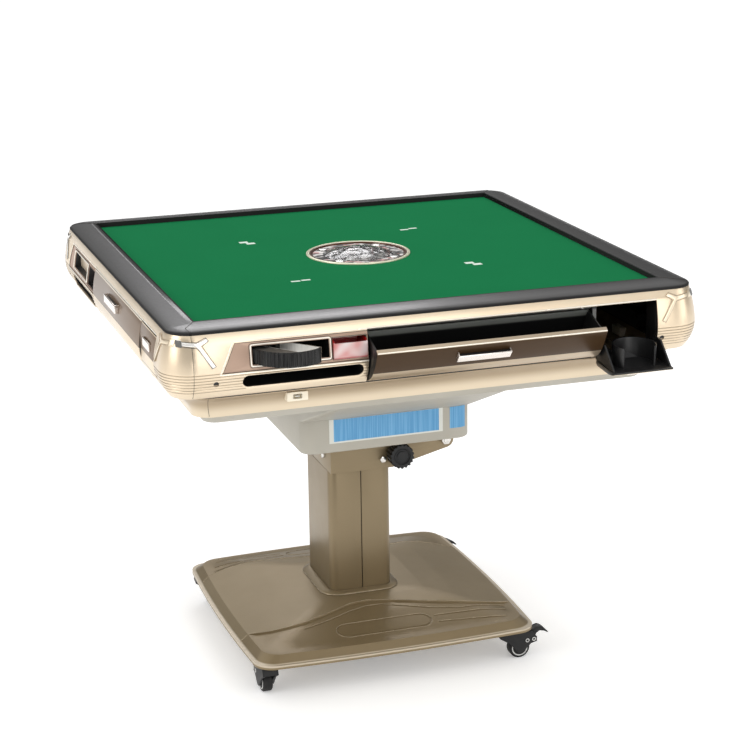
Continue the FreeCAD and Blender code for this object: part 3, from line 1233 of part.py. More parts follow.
def plan_ribbon(points, width):
    """An upright ribbon that follows plan points given about the base's middle."""
    strips = []
    for (x0, y0), (x1, y1) in zip(points[:-1], points[1:]):
        length = math.hypot(x1 - x0, y1 - y0)
        strip = box(0, length, -width / 2, width / 2, BASE_RIM_Z, BASE_TOP_Z + 20)
        strip = strip.rotated(V(0, 0, 0), Z_AXIS, math.degrees(math.atan2(y1 - y0, x1 - x0)))
        strips.append(strip.translated(V(BASE_X + x0, y0, 0)))
    return strips[0].fuse(strips[1:]) if len(strips) > 1 else strips[0]


def embossing():
    """Lowered front field, the wave above it, a long loop and three lines."""
    edge = BASE_HALF
    field = [V(BASE_X + x, y, BASE_RIM_Z) for x, y in FIELD_POINTS]
    field += [V(BASE_X + edge, -edge - 20, BASE_RIM_Z), V(BASE_X - edge, -edge - 20, BASE_RIM_Z)]
    sunk = polygon_face(field).extrude(V(0, 0, BASE_TOP_Z))
    wave = plan_ribbon(WAVE_POINTS, GROOVE_W)
    loop_outer = plan_stadium(LOOP_L, LOOP_R, LOOP_Y, LOOP_H, BASE_TOP_Z)
    loop_inner = plan_stadium(LOOP_L + GROOVE_W, LOOP_R - GROOVE_W, LOOP_Y, LOOP_H - 2 * GROOVE_W,
                              BASE_TOP_Z)
    tools = [(sunk, EMBOSS_DEPTH)]
    for tool in [wave, loop_outer.cut(loop_inner)] + [plan_ribbon(line, GROOVE_W) for line in LINE_POINTS]:
        tools.append((tool, EMBOSS_DEPTH + 1))
    return tools


def plan_stadium(x0, x1, y, height, z1):
    """An upright block with round ends in plan, about the base's middle."""
    r = height / 2
    block = box(BASE_X + x0 + r, BASE_X + x1 - r, y - r, y + r, BASE_RIM_Z, z1)
    for x in (x0 + r, x1 - r):
        block = block.fuse(cylinder(r, V(BASE_X + x, y, BASE_RIM_Z), Z_AXIS, z1 - BASE_RIM_Z))
    return block.removeSplitter()


def base_frame():
    """Welded frame: two bars over the casters, two cross bars and the column post."""
    half = CASTER_OFFSET
    z0 = FRAME_Z
    z1 = FRAME_Z + FRAME_T
    width = FRAME_BAR_W / 2
    bars = []
    for sign in (-1, 1):
        y = sign * half
        bars.append(box(CASTER_X - half, CASTER_X + half, y - CASTER_PAD_R, y + CASTER_PAD_R, z0, z1))
        x = COLUMN_X + sign * (POST_HALF_W - width)
        bars.append(box(x - width, x + width, -half, half, z0, z1))
        for end in (-half, half):
            bars.append(cylinder(CASTER_PAD_R, V(CASTER_X + end, y, z0), Z_AXIS, FRAME_T))
    foot_w = POST_HALF_W + FRAME_FOOT_MARGIN
    foot_d = POST_HALF_D + FRAME_FOOT_MARGIN
    foot = box(COLUMN_X - foot_w, COLUMN_X + foot_w, -foot_d, foot_d, z1 - FRAME_T / 2, z1)
    outer = rounded_block(POST_HALF_W, POST_HALF_D, POST_CORNER, COLUMN_X, 0, z1 - FRAME_T / 2,
                          BRACKET_BOTTOM_Z)
    inner = rounded_block(POST_HALF_W - POST_T, POST_HALF_D - POST_T, POST_CORNER / 2, COLUMN_X, 0, z1,
                          BRACKET_BOTTOM_Z - POST_T)
    frame = bars[0].fuse(bars[1:] + [foot, outer]).cut(inner)
    for sx in (-1, 1):
        for sy in (-1, 1):
            spot = V(CASTER_X + sx * half, sy * half, z0 - 1)
            frame = frame.cut(cylinder(STEM_R + RUNNING, spot, Z_AXIS, STEM_H + 1))
    return frame.removeSplitter()


# ---------------------------------------------------------------- casters

def caster_fork():
    """Caster housing with its stem and axle, trailing along +X from the origin."""
    inner = WHEEL_W / 2 + FORK_GAP
    outer = inner + CHEEK_T
    crown_z = 2 * WHEEL_R + 4
    outline = [(-22, crown_z), (-15, FORK_TOP_Z), (11, FORK_TOP_Z), (20, crown_z + 8), (42, crown_z + 6.5),
               (50, LEVER_PIVOT_Z + 4), (50, LEVER_PIVOT_Z - 5), (38, LEVER_PIVOT_Z - 8),
               (WHEEL_TRAIL + 8, WHEEL_R - 4), (WHEEL_TRAIL + 3, WHEEL_R - 8), (WHEEL_TRAIL - 4, WHEEL_R - 8),
               (WHEEL_TRAIL - 9, WHEEL_R - 2), (-4, 33)]
    body = xz_prism(outline, -outer, outer)
    slot = box(-40, 60, -inner, inner, 0, crown_z)
    pedal_slot = box(32, 60, -inner, inner, 0, FORK_TOP_Z + 1)
    body = body.cut(slot).cut(pedal_slot)
    stem = cylinder(STEM_R, V(0, 0, FORK_TOP_Z - 1), Z_AXIS, STEM_H + 1)
    axle = cylinder(AXLE_R, V(WHEEL_TRAIL, -outer, WHEEL_R), Y_AXIS, 2 * outer)
    rivet = cylinder(2.4, V(LEVER_PIVOT_X - 13, -outer - 0.8, LEVER_PIVOT_Z - 1), Y_AXIS, 2 * outer + 1.6)
    rivet = rivet.cut(box(0, 60, -outer + 1, outer - 1, 0, 80))
    bore_start = V(LEVER_PIVOT_X, -outer - 1, LEVER_PIVOT_Z)
    bore = cylinder(LEVER_PIN_R + RUNNING, bore_start, Y_AXIS, 2 * outer + 2)
    return body.fuse([stem, axle, rivet]).cut(bore)


def caster_wheel():
    """Wheel with rounded tyre edges and a hub recess on each face."""
    r = WHEEL_R
    half = WHEEL_W / 2
    bore = AXLE_R + RUNNING
    profile = [(bore, -half), (r * 0.66, -half), (r * 0.66, -half + 1.2), (r * 0.78, -half + 1.2),
               (r * 0.78, -half), (r - 2, -half), (r, -half + 2), (r, half - 2), (r - 2, half),
               (r * 0.78, half), (r * 0.78, half - 1.2), (r * 0.66, half - 1.2), (r * 0.66, half),
               (bore, half)]
    face = polygon_face([V(WHEEL_TRAIL + radius, y, WHEEL_R) for radius, y in profile])
    return face.revolve(V(WHEEL_TRAIL, 0, WHEEL_R), Y_AXIS, 360)


def brake_lever():
    """Foot pedal with a humped toe and a shoe facing the tyre."""
    px, pz = LEVER_PIVOT_X, LEVER_PIVOT_Z
    outline = [(px - 5.5, pz - 9), (px - 3.5, pz + 2), (px - 6, pz + 10), (px - 5, pz + 14),
               (px + 3, pz + 15.5), (px + 8, pz + 19), (px + 14, pz + 20.5), (px + 20, pz + 18),
               (px + 26, pz + 13), (px + 30, pz + 8.5), (px + 29, pz + 7), (px + 22, pz + 11),
               (px + 13, pz + 13), (px + 7, pz + 9), (px + 4, pz + 3), (px + 3, pz - 4), (px - 2, pz - 9)]
    pedal = xz_prism(outline, -LEVER_W / 2, LEVER_W / 2)
    outer = WHEEL_W / 2 + FORK_GAP + CHEEK_T
    pin = cylinder(LEVER_PIN_R, V(px, -outer, pz), Y_AXIS, 2 * outer)
    return pedal.fuse(pin)


def placed_caster(shape, corner):
    """A caster piece turned to its corner's trailing direction and set in place."""
    sx = 1 if "right" in corner else -1
    sy = 1 if "rear" in corner else -1
    turned = shape.rotated(V(0, 0, 0), Z_AXIS, CASTER_TURNS[corner])
    return turned.translated(V(CASTER_X + sx * CASTER_OFFSET, sy * CASTER_OFFSET, 0))


# ---------------------------------------------------------------- assembly

def export_sides():
    """Side mouldings and what moves in them; the front side stands open."""
    skirt = skirt_front()
    front = drawer_front()
    handle = drawer_handle()
    tray = drawer_tray()
    flap = cup_flap()
    drum = ashtray_drum()
    dish = ashtray_dish()
    drum_centre = V(ASH_S, -ASH_DEPTH, 0)
    for side in SIDES:
        is_open = side == "front"
        tilt = DRAWER_OPEN if is_open else 0.0
        drop = CUP_OPEN if is_open else 0.0
        swing = ASH_OPEN if is_open else 0.0
        reach = BIN_FRONT_OPEN if is_open else BIN_FRONT_OPEN - BIN_TRAVEL
        panel = Part.makeCompound([front, handle])
        export(on_side(skirt, side), "skirt_" + side)
        export(on_side(opened(panel, DRAWER_HINGE_DEPTH, DRAWER_HINGE_Z, tilt), side), "drawer_front_" + side)
        export(on_side(opened(tray, DRAWER_HINGE_DEPTH, DRAWER_HINGE_Z, tilt), side), "drawer_tray_" + side)
        export(on_side(opened(flap, CUP_HINGE_DEPTH, CUP_HINGE_Z, drop), side), "cup_flap_" + side)
        export(on_side(drum.rotated(drum_centre, Z_AXIS, swing), side), "ashtray_drum_" + side)
        export(on_side(dish.rotated(drum_centre, Z_AXIS, swing), side), "ashtray_dish_" + side)
        export(on_side(chip_bin(reach), side), "chip_bin_" + side)


def export_casters():
    """Four casters, each a fork, a wheel and a brake lever."""
    fork = caster_fork()
    wheel = caster_wheel()
    lever = brake_lever()
    for corner in CASTER_TURNS:
        export(placed_caster(fork, corner), "caster_fork_" + corner)
        export(placed_caster(wheel, corner), "caster_wheel_" + corner)
        export(placed_caster(lever, corner), "brake_lever_" + corner)


export_sides()
export_casters()
export(edge_rails(), "edge_rails")
export(play_board(), "play_board")
export(play_cloth(), "play_cloth")
export(lower_cover(), "lower_cover")
export(chassis_pan(), "chassis_pan")
export(control_box(), "control_box")
export(corner_trims(), "corner_trims")
export(usb_plates(), "usb_plates")
export(lift_disc(), "lift_disc")
export(dice_dome(), "dice_dome")
export(dice(), "dice")
export(fold_bracket(), "fold_bracket")
export(bracket_bolts(), "bracket_bolts")
export(hinge_plate(), "hinge_plate")
export(lock_knob(), "lock_knob")
export(column_shell(-1), "column_shell_left")
export(column_shell(1), "column_shell_right")
export(column_collar(), "column_collar")
export(base_cover(), "base_cover")
export(base_frame(), "base_frame")
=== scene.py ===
import math

import bmesh
import bpy
from mathutils import Matrix, Vector
from mathutils.bvhtree import BVHTree


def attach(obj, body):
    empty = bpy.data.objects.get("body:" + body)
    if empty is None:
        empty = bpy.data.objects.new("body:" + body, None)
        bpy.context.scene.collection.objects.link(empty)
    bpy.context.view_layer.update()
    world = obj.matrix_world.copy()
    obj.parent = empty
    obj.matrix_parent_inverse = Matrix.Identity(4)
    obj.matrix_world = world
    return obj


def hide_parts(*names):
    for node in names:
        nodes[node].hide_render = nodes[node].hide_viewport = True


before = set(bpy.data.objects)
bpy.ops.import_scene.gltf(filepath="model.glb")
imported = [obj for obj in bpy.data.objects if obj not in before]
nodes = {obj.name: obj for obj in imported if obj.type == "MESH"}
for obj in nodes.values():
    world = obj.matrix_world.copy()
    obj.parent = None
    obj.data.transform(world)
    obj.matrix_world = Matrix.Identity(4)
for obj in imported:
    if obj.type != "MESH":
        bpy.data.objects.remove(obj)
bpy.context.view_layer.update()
SIDES = ("front", "right", "rear", "left")


# ------------------------------------------------------------------ studio
# A plain pale floor that runs far past the table, a dome of soft light that is brighter
# overhead than at the horizon, and four large soft lamps.

class Signal:
    """A shader socket that Python sums can use; every operator adds its Math node."""

    def __init__(self, tree, socket):
        self.tree = tree
        self.socket = socket

    def math(self, operation, *values):
        return add_node(self.tree, "ShaderNodeMath", {"operation": operation}, dict(enumerate(values)))

    def __add__(self, other):
        return self.math("ADD", self, other)

    def __sub__(self, other):
        return self.math("SUBTRACT", self, other)

    def __rsub__(self, other):
        return self.math("SUBTRACT", other, self)

    def __mul__(self, other):
        return self.math("MULTIPLY", self, other)

    def __truediv__(self, other):
        return self.math("DIVIDE", self, other)

    def __pow__(self, exponent):
        return self.math("POWER", self, exponent)

    def __abs__(self):
        return self.math("ABSOLUTE", self)

    __radd__ = __add__
    __rmul__ = __mul__

    def at_least(self, low):
        return self.math("MAXIMUM", self, low)

    def at_most(self, high):
        return self.math("MINIMUM", self, high)

    def step(self, low, high):
        """0 below low, 1 above high and smooth between them."""
        settings = {"interpolation_type": "SMOOTHSTEP"}
        return add_node(self.tree, "ShaderNodeMapRange", settings, {"Value": self, "From Min": low, "From Max": high})

    def within(self, low, high, soft):
        """1 between low and high, fading to 0 over soft at both ends."""
        return self.step(low - soft, low + soft) * (1 - self.step(high - soft, high + soft))

    def part(self, axis):
        """One component of a vector."""
        return add_node(self.tree, "ShaderNodeSeparateXYZ", {}, {"Vector": self}, axis)


def add_node(tree, kind, settings, inputs, output=0):
    """Adds one node: its settings first, then the values or signals of its sockets."""
    node = tree.nodes.new(kind)
    for name, value in settings.items():
        setattr(node, name, value)
    for name, value in inputs.items():
        if isinstance(value, Signal):
            tree.links.new(value.socket, node.inputs[name])
        else:
            node.inputs[name].default_value = value
    return Signal(tree, node.outputs[output])


class Finish:
    """A procedural material on the object's own coordinates."""

    def __init__(self, name, colour, **sockets):
        self.material = bpy.data.materials.new(name)
        self.material.use_nodes = True
        self.material.diffuse_color = tone = (*colour, 1.0)
        self.tree = self.material.node_tree
        self.shader = self.tree.nodes["Principled BSDF"]
        self.shader.inputs["Base Color"].default_value = tone
        for socket, value in sockets.items():
            self.shader.inputs[socket.replace("_", " ")].default_value = value
        self.place = add_node(self.tree, "ShaderNodeTexCoord", {}, {}, "Object")
        self.relief = None
        self.now = {"Base Color": tone, "Roughness": sockets.get("Roughness", 0.5),
                    "Metallic": sockets.get("Metallic", 0.0)}

    def node(self, kind, settings=None, inputs=None, output=0):
        return add_node(self.tree, kind, settings or {}, inputs or {}, output)

    def stretched(self, scale, turn=(0.0, 0.0, 0.0), move=(0.0, 0.0, 0.0)):
        """The pattern's coordinates, moved, turned and scaled for a pattern with a direction."""
        inputs = {"Vector": self.place, "Location": move, "Rotation": turn, "Scale": scale}
        return self.node("ShaderNodeMapping", {"vector_type": "POINT"}, inputs)

    def noise(self, scale, detail=2.0, roughness=0.5, where=None):
        """Soft noise from 0 to 1; scale is in cells per metre."""
        inputs = {"Vector": where or self.place, "Scale": scale, "Detail": detail, "Roughness": roughness}
        return self.node("ShaderNodeTexNoise", {}, inputs)

    def cells(self, scale):
        """Distance to the nearest random point; scale is in cells per metre."""
        return self.node("ShaderNodeTexVoronoi", {}, {"Vector": self.place, "Scale": scale})

    def mix(self, share, first, second):
        """A colour between two colours or signals."""
        return self.node("ShaderNodeMix", {"data_type": "RGBA"}, {0: share, 6: first, 7: second}, 2)

    def drive(self, socket, signal):
        self.tree.links.new(signal.socket, self.shader.inputs[socket])
        self.now[socket] = signal
        return self

    def bump(self, height, depth):
        """Adds relief; depth is the pattern's real height in metres."""
        inputs = {"Height": height, "Distance": depth, "Strength": 1.0}
        if self.relief is not None:
            inputs["Normal"] = self.relief
        self.relief = self.node("ShaderNodeBump", {}, inputs)
        self.drive("Normal", self.relief)
        return self

    def tint(self, low, high, share):
        """Colour that drifts between two tones of the finish."""
        return self.drive("Base Color", self.mix(share, (*low, 1.0), (*high, 1.0)))

    def gloss(self, scale, swing, low, detail=2.0):
        """Roughness that drifts from low to low plus swing."""
        return self.drive("Roughness", self.noise(scale, detail) * swing + low)

    def cover(self, share, colour, roughness, metallic=0.0):
        """Lays another colour and gloss over the places where share is 1."""
        self.drive("Base Color", self.mix(share, self.now["Base Color"], (*colour, 1.0)))
        self.drive("Roughness", self.now["Roughness"] * (1 - share) + roughness * share)
        self.drive("Metallic", (1 - share) * self.now["Metallic"] + share * metallic)
        return self


def add_object(name, data):
    """Puts a new object in the scene."""
    item = bpy.data.objects.new(name, data)
    bpy.context.collection.objects.link(item)
    return item


def build_floor():
    """A round floor of pale matt paper."""
    mesh = bpy.data.meshes.new("studio_floor")
    net = bmesh.new()
    bmesh.ops.create_circle(net, cap_ends=True, segments=96, radius=80.0)
    net.to_mesh(mesh)
    net.free()
    floor = add_object("studio_floor", mesh)
    paper = Finish("floor_paper", (0.95, 0.95, 0.95), Roughness=0.9)
    paper.tint((0.945, 0.945, 0.945), (0.955, 0.955, 0.955), paper.noise(3.0))
    paper.shader.inputs["Emission Color"].default_value = (1.0, 1.0, 1.0, 1.0)
    paper.shader.inputs["Emission Strength"].default_value = 0.28
    floor.data.materials.append(paper.material)


def build_dome():
    """Soft light from all round: dim at the horizon, bright from 30 degrees up, less so on the right,
    with a low glow on the left."""
    world = bpy.data.worlds.new("studio_dome")
    bpy.context.scene.world = world
    world.use_nodes = True
    tree = world.node_tree
    direction = add_node(tree, "ShaderNodeTexCoord", {}, {}, "Generated")
    low, high = math.sin(math.radians(15.0)), math.sin(math.radians(30.0))
    glow = direction.part("Z").step(low, high) * 0.86 + 0.16
    glow = glow * (1 - direction.part("X").step(0.20, 0.60) * 0.35)
    glow = glow + (0 - direction.part("X")).step(0.50, 0.90) * (1 - direction.part("Z").step(0.10, 0.40)) * 0.35
    background = tree.nodes["Background"]
    background.inputs["Color"].default_value = (1.0, 1.0, 1.0, 1.0)
    tree.links.new(glow.socket, background.inputs["Strength"])


def add_lamp(name, place, aim, size, power, colour):
    """A large square soft lamp."""
    light = bpy.data.lights.new(name, "AREA")
    light.shape = "SQUARE"
    light.size = size
    light.energy = power
    light.color = colour
    lamp = add_object(name, light)
    lamp.location = place
    lamp.rotation_euler = (Vector(aim) - Vector(place)).to_track_quat("-Z", "Y").to_euler()


def add_camera():
    """A long lens from the front left, looking slightly down, rolled by under a degree."""
    azimuth, elevation, roll = math.radians(-18.158), math.radians(16.163), math.radians(-0.859)
    distance, aim, lens = 5.946, Vector((0.6802, 1.9860, -0.1051)), 97.15
    back = Vector((math.sin(azimuth) * math.cos(elevation), -math.cos(azimuth) * math.cos(elevation),
                   math.sin(elevation)))
    side = Vector((0, 0, 1)).cross(back).normalized()
    up = back.cross(side)
    right = side * math.cos(roll) + up * math.sin(roll)
    top = up * math.cos(roll) - side * math.sin(roll)
    data = bpy.data.cameras.new("camera")
    data.lens = lens
    data.sensor_width = 36.0
    data.sensor_fit = "HORIZONTAL"
    camera = add_object("camera", data)
    turn = Matrix((right, top, back)).transposed().to_4x4()
    camera.matrix_world = Matrix.Translation(aim + back * distance) @ turn
    bpy.context.scene.camera = camera


build_floor()
build_dome()
add_lamp("key", (-3.5, -1.0, 1.7), (0, 0, 0.5), 1.8, 34, (1.0, 0.98, 0.95))
add_lamp("front", (0.8, -3.9, 1.4), (0, 0, 0.6), 1.8, 26, (1.0, 0.985, 0.96))
add_lamp("fill", (3.0, -2.4, 1.3), (0, 0, 0.5), 1.8, 22, (1.0, 0.99, 0.97))
add_lamp("back", (0.62, 2.95, 2.85), (0.1, -0.4, 0.74), 1.4, 21, (1.0, 0.98, 1.0))
add_camera()
bpy.context.scene.view_settings.view_transform = "Standard"


# ------------------------------------------------------------------ casters
# Black nylon housings on steel stems, rubber-treaded wheels with a pale ring let into
# each hub, and a foot brake with a humped toe; pushed up into the frame under the base.

# Which side and end each caster is at, and how far it has swivelled.
CORNERS = {"front_left": (-1, -1, 90.0), "front_right": (1, -1, 0.0),
           "rear_right": (1, 1, 15.0), "rear_left": (-1, 1, -5.0)}
CASTER_X, CASTER_OUT = -25, 231    # middle of the four stems, and each one's distance from it


def dress(node, finish, bevel=0.0, sharp=30.0):
    """Gives a CAD node its finish, joins its loose triangles and softens its edges."""
    piece = nodes[node]
    piece.data.materials.clear()
    piece.data.materials.append(finish.material)
    weld = piece.modifiers.new("weld", "WELD")
    weld.merge_threshold = 0.00002
    if bevel:
        flat = piece.modifiers.new("flat", "DECIMATE")
        flat.decimate_type = "DISSOLVE"
        flat.angle_limit = math.radians(1.5)
        edge = piece.modifiers.new("edge", "BEVEL")
        edge.width = bevel
        edge.segments = 2
        edge.limit_method = "ANGLE"
        edge.angle_limit = math.radians(sharp)
        edge.use_clamp_overlap = True
    smooth = piece.modifiers.new("smooth", "NODES")
    smooth.node_group = smooth_by_angle(sharp)
    return piece


def new_tree(name, *inputs):
    """A Geometry Nodes tree with a geometry in and out and the named inputs."""
    tree = bpy.data.node_groups.new(name, "GeometryNodeTree")
    tree.interface.new_socket("Geometry", in_out="INPUT", socket_type="NodeSocketGeometry")
    for label, kind in inputs:
        tree.interface.new_socket(label, in_out="INPUT", socket_type=kind)
    tree.interface.new_socket("Geometry", in_out="OUTPUT", socket_type="NodeSocketGeometry")
    entry = tree.nodes.new("NodeGroupInput")
    given = {socket.name: Signal(tree, socket) for socket in entry.outputs if socket.name}
    return tree, given, tree.nodes.new("NodeGroupOutput")


def smooth_by_angle(angle):
    """A Geometry Nodes tree that shades smooth except over sharp edges."""
    name = "smooth_under_%d" % angle
    if name in bpy.data.node_groups:
        return bpy.data.node_groups[name]
    tree, given, result = new_tree(name)
    edge_angle = add_node(tree, "GeometryNodeInputMeshEdgeAngle", {}, {}, "Unsigned Angle")
    gentle = add_node(tree, "FunctionNodeCompare", {"data_type": "FLOAT", "operation": "LESS_EQUAL"},
                      {0: edge_angle, 1: math.radians(angle)})
    faces = add_node(tree, "GeometryNodeSetShadeSmooth", {"domain": "FACE"},
                     {"Geometry": given["Geometry"], "Shade Smooth": True})
    edges = add_node(tree, "GeometryNodeSetShadeSmooth", {"domain": "EDGE"},
                     {"Geometry": faces, "Shade Smooth": gentle})
    tree.links.new(edges.socket, result.inputs[0])
    return tree


def bead_tree():
    """Geometry Nodes: a round bead along every chain of edges."""
    tree, given, result = new_tree("bead_along_edges", ("Radius", "NodeSocketFloat"), ("Sides", "NodeSocketInt"),
                                   ("Material", "NodeSocketMaterial"))
    path = add_node(tree, "GeometryNodeMeshToCurve", {}, {"Mesh": given["Geometry"]})
    ring = add_node(tree, "GeometryNodeCurvePrimitiveCircle", {},
                    {"Resolution": given["Sides"], "Radius": given["Radius"]})
    bead = add_node(tree, "GeometryNodeCurveToMesh", {}, {"Curve": path, "Profile Curve": ring, "Fill Caps": True})
    round_bead = add_node(tree, "GeometryNodeSetShadeSmooth", {"domain": "FACE"}, {"Geometry": bead})
    real = add_node(tree, "GeometryNodeRealizeInstances", {}, {"Geometry": round_bead})
    coloured = add_node(tree, "GeometryNodeSetMaterial", {}, {"Geometry": real, "Material": given["Material"]})
    tree.links.new(coloured.socket, result.inputs[0])
    return tree


def grow(name, seed, tree, values, body):
    """Runs a Geometry Nodes tree on a seed mesh and keeps the plain mesh, riding on a body."""
    piece = add_object(name, seed)
    modifier = piece.modifiers.new("grow", "NODES")
    modifier.node_group = tree
    for item in tree.interface.items_tree:
        if item.in_out == "INPUT" and item.name in values:
            modifier[item.identifier] = values[item.name]
    view = bpy.context.evaluated_depsgraph_get()
    grown = bpy.data.meshes.new_from_object(piece.evaluated_get(view), depsgraph=view)
    grown.name = name
    piece.modifiers.clear()
    piece.data = grown
    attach(piece, body)
    return piece


BEAD = bead_tree()


def beads(name, chains, radius, finish, body, closed=False, sides=8):
    """Round beads along chains of points; a closed chain is a loop."""
    points, edges = [], []
    for chain in chains:
        first = len(points)
        points.extend(chain)
        edges.extend((i, i + 1) for i in range(first, len(points) - 1))
        if closed:
            edges.append((len(points) - 1, first))
    seed = bpy.data.meshes.new(name)
    seed.from_pydata(points, edges, [])
    return grow(name, seed, BEAD, {"Radius": radius, "Sides": sides, "Material": finish.material}, body)


def circle(middle, axis, radius, count=40):
    """Points round a circle."""
    axis = Vector(axis).normalized()
    across = axis.orthogonal().normalized()
    return [Vector(middle) + Matrix.Rotation(math.tau * i / count, 3, axis) @ across * radius for i in range(count)]


def at_caster(corner, x, y, z):
    """A point of a caster, given about its stem along its trailing direction, in millimetres."""
    right, rear, turn = CORNERS[corner]
    local = Matrix.Rotation(math.radians(turn), 3, "Z") @ Vector((x, y, z))
    return (local + Vector((CASTER_X + CASTER_OUT * right, CASTER_OUT * rear, 0))) / 1000


nylon = Finish("black_nylon", (0.008, 0.008, 0.008), Roughness=0.42, Specular_IOR_Level=0.35)
nylon.tint((0.006, 0.006, 0.0065), (0.012, 0.012, 0.0125), nylon.noise(60.0))
nylon.gloss(900.0, 0.16, 0.34)
nylon.bump(nylon.cells(1400.0), 0.00003)
tread = Finish("wheel_tread", (0.012, 0.012, 0.012), Roughness=0.6, Specular_IOR_Level=0.3)
tread.tint((0.008, 0.008, 0.008), (0.018, 0.018, 0.017), tread.noise(220.0, 4.0))
tread.gloss(300.0, 0.2, 0.5)
tread.bump(tread.noise(1800.0), 0.00004)
hub_pale = Finish("hub_ring", (0.72, 0.72, 0.70), Roughness=0.3)
hub_pale.tint((0.62, 0.62, 0.60), (0.80, 0.80, 0.78), hub_pale.noise(700.0))
hub_pale.gloss(900.0, 0.2, 0.2)
for corner, (right, rear, turn) in CORNERS.items():
    dress("caster_fork_" + corner, nylon, 0.0006)
    dress("caster_wheel_" + corner, tread, 0.0)
    dress("brake_lever_" + corner, nylon, 0.0005)
    axle = at_caster(corner, 0, 1, 0) - at_caster(corner, 0, 0, 0)
    rings = [circle(at_caster(corner, 18, face, 20), axle, 0.0144) for face in (-8.6, 8.6)]
    beads("hub_rings_" + corner, rings, 0.0011, hub_pale, "wheel_" + corner, closed=True)
    eyes = [circle(at_caster(corner, x, face, z), axle, 0.0030, 24)
            for x, z in ((31, 35), (44, 36)) for face in (-14.6, 14.6)]
    beads("caster_eyelets_" + corner, eyes, 0.0008, hub_pale, "caster_" + corner, closed=True)


# ------------------------------------------------------------------ base
# A pressed steel cover with a stepped rim and an embossed sweep at the front and back,
# over a black welded frame, all in bronze metallic paint, with painted highlights on the pressed edges.

BASE_X = -16                       # middle of the base cover
FIELD_HALF, FIELD_REACH = 265, 200
# Pressed lines of the front half in plan, in millimetres from the middle of the base.
FIELD = ((-265, -138), (-248, -142), (-214, -158), (-183, -164), (-149, -162), (-117, -151), (-84, -137),
         (-50, -122), (-19, -118), (25, -128), (96, -151), (169, -169), (215, -170), (262, -160))
WAVE = ((-155, -180), (-102, -164), (-58, -145), (-25, -135), (3, -135), (38, -149), (89, -169), (144, -182),
        (235, -178))
STROKES = (((89, -195), (229, -197)), ((90, -216), (220, -225)), ((190, -243), (217, -241)))


def metallic_paint(name, dark, light, roughness, metallic=0.55):
    """Metallic paint: fine flakes, a slight orange peel and a thin clear coat."""
    return flaked(Finish(name, light, Metallic=metallic, Roughness=roughness, Coat_Weight=0.12, Coat_Roughness=0.22),
                  dark, light, roughness)


def flaked(paint, dark, light, roughness):
    """Adds the drift, flakes and orange peel of a sprayed metallic paint."""
    drift = paint.noise(4.0, 3.0) * 0.75 + paint.noise(3500.0, 0.0) * 0.25
    paint.tint(dark, light, drift.step(0.3, 0.7))
    paint.drive("Roughness", paint.noise(38.0, 3.0) * 0.08 + (roughness - 0.04) + paint.noise(2400.0) * 0.02)
    return paint.bump(paint.noise(420.0, 1.0), 0.00002)


def surface_of(node):
    """A CAD node's surface for dropping points on."""
    mesh = nodes[node].data
    return BVHTree.FromPolygons([v.co for v in mesh.vertices], [p.vertices for p in mesh.polygons])


def landed(surface, start, direction):
    """Where a straight line from start first meets the surface."""
    return surface.ray_cast(Vector(start), Vector(direction).normalized())[0]


def stroke(surface, plan, turn, shift):
    """Plan points walked in 5 mm steps and dropped on the base cover, moved sideways by shift."""
    chain = []
    for (x0, y0), (x1, y1) in zip(plan[:-1], plan[1:]):
        length = math.hypot(x1 - x0, y1 - y0)
        steps = max(1, round(length / 5))
        for i in range(steps + (x1 == plan[-1][0])):
            t = i / steps
            x = x0 + (x1 - x0) * t - (y1 - y0) / length * shift
            y = y0 + (y1 - y0) * t + (x1 - x0) / length * shift
            hit = landed(surface, ((BASE_X + turn * x) / 1000, turn * y / 1000, 0.2), (0, 0, -1))
            if hit:
                chain.append(hit)
    return chain


def loop_plan(left, right, middle, half):
    """The long loop's outline in plan."""
    turns = [math.radians(a) for a in range(-90, 91, 15)]
    east = [(right - half + half * math.cos(a), middle + half * math.sin(a)) for a in turns]
    west = [(left + half - half * math.cos(a), middle - half * math.sin(a)) for a in turns]
    return east + west + east[:1]


BRONZE_DARK, BRONZE_LIGHT = (0.250, 0.194, 0.112), (0.305, 0.240, 0.147)
bronze = metallic_paint("bronze_paint", (0.225, 0.172, 0.098), (0.275, 0.214, 0.128), 0.36)
base_paint = metallic_paint("bronze_base", BRONZE_DARK, BRONZE_LIGHT, 0.42)
across, along = base_paint.place.part("X") - BASE_X / 1000, base_paint.place.part("Y")
turned = along.math("SIGN", along) * -1
along_field = (across * turned + FIELD_HALF / 1000) / (FIELD_HALF / 500)
curve = base_paint.node("ShaderNodeFloatCurve", {}, {"Value": along_field})
mapping = curve.socket.node.mapping
knots = mapping.curves[0].points
spots = [((x + FIELD_HALF) / (2 * FIELD_HALF), -y / FIELD_REACH) for x, y in FIELD]
knots[0].location, knots[-1].location = spots[0], spots[-1]
for spot in spots[1:-1]:
    knots.new(*spot)
mapping.update()
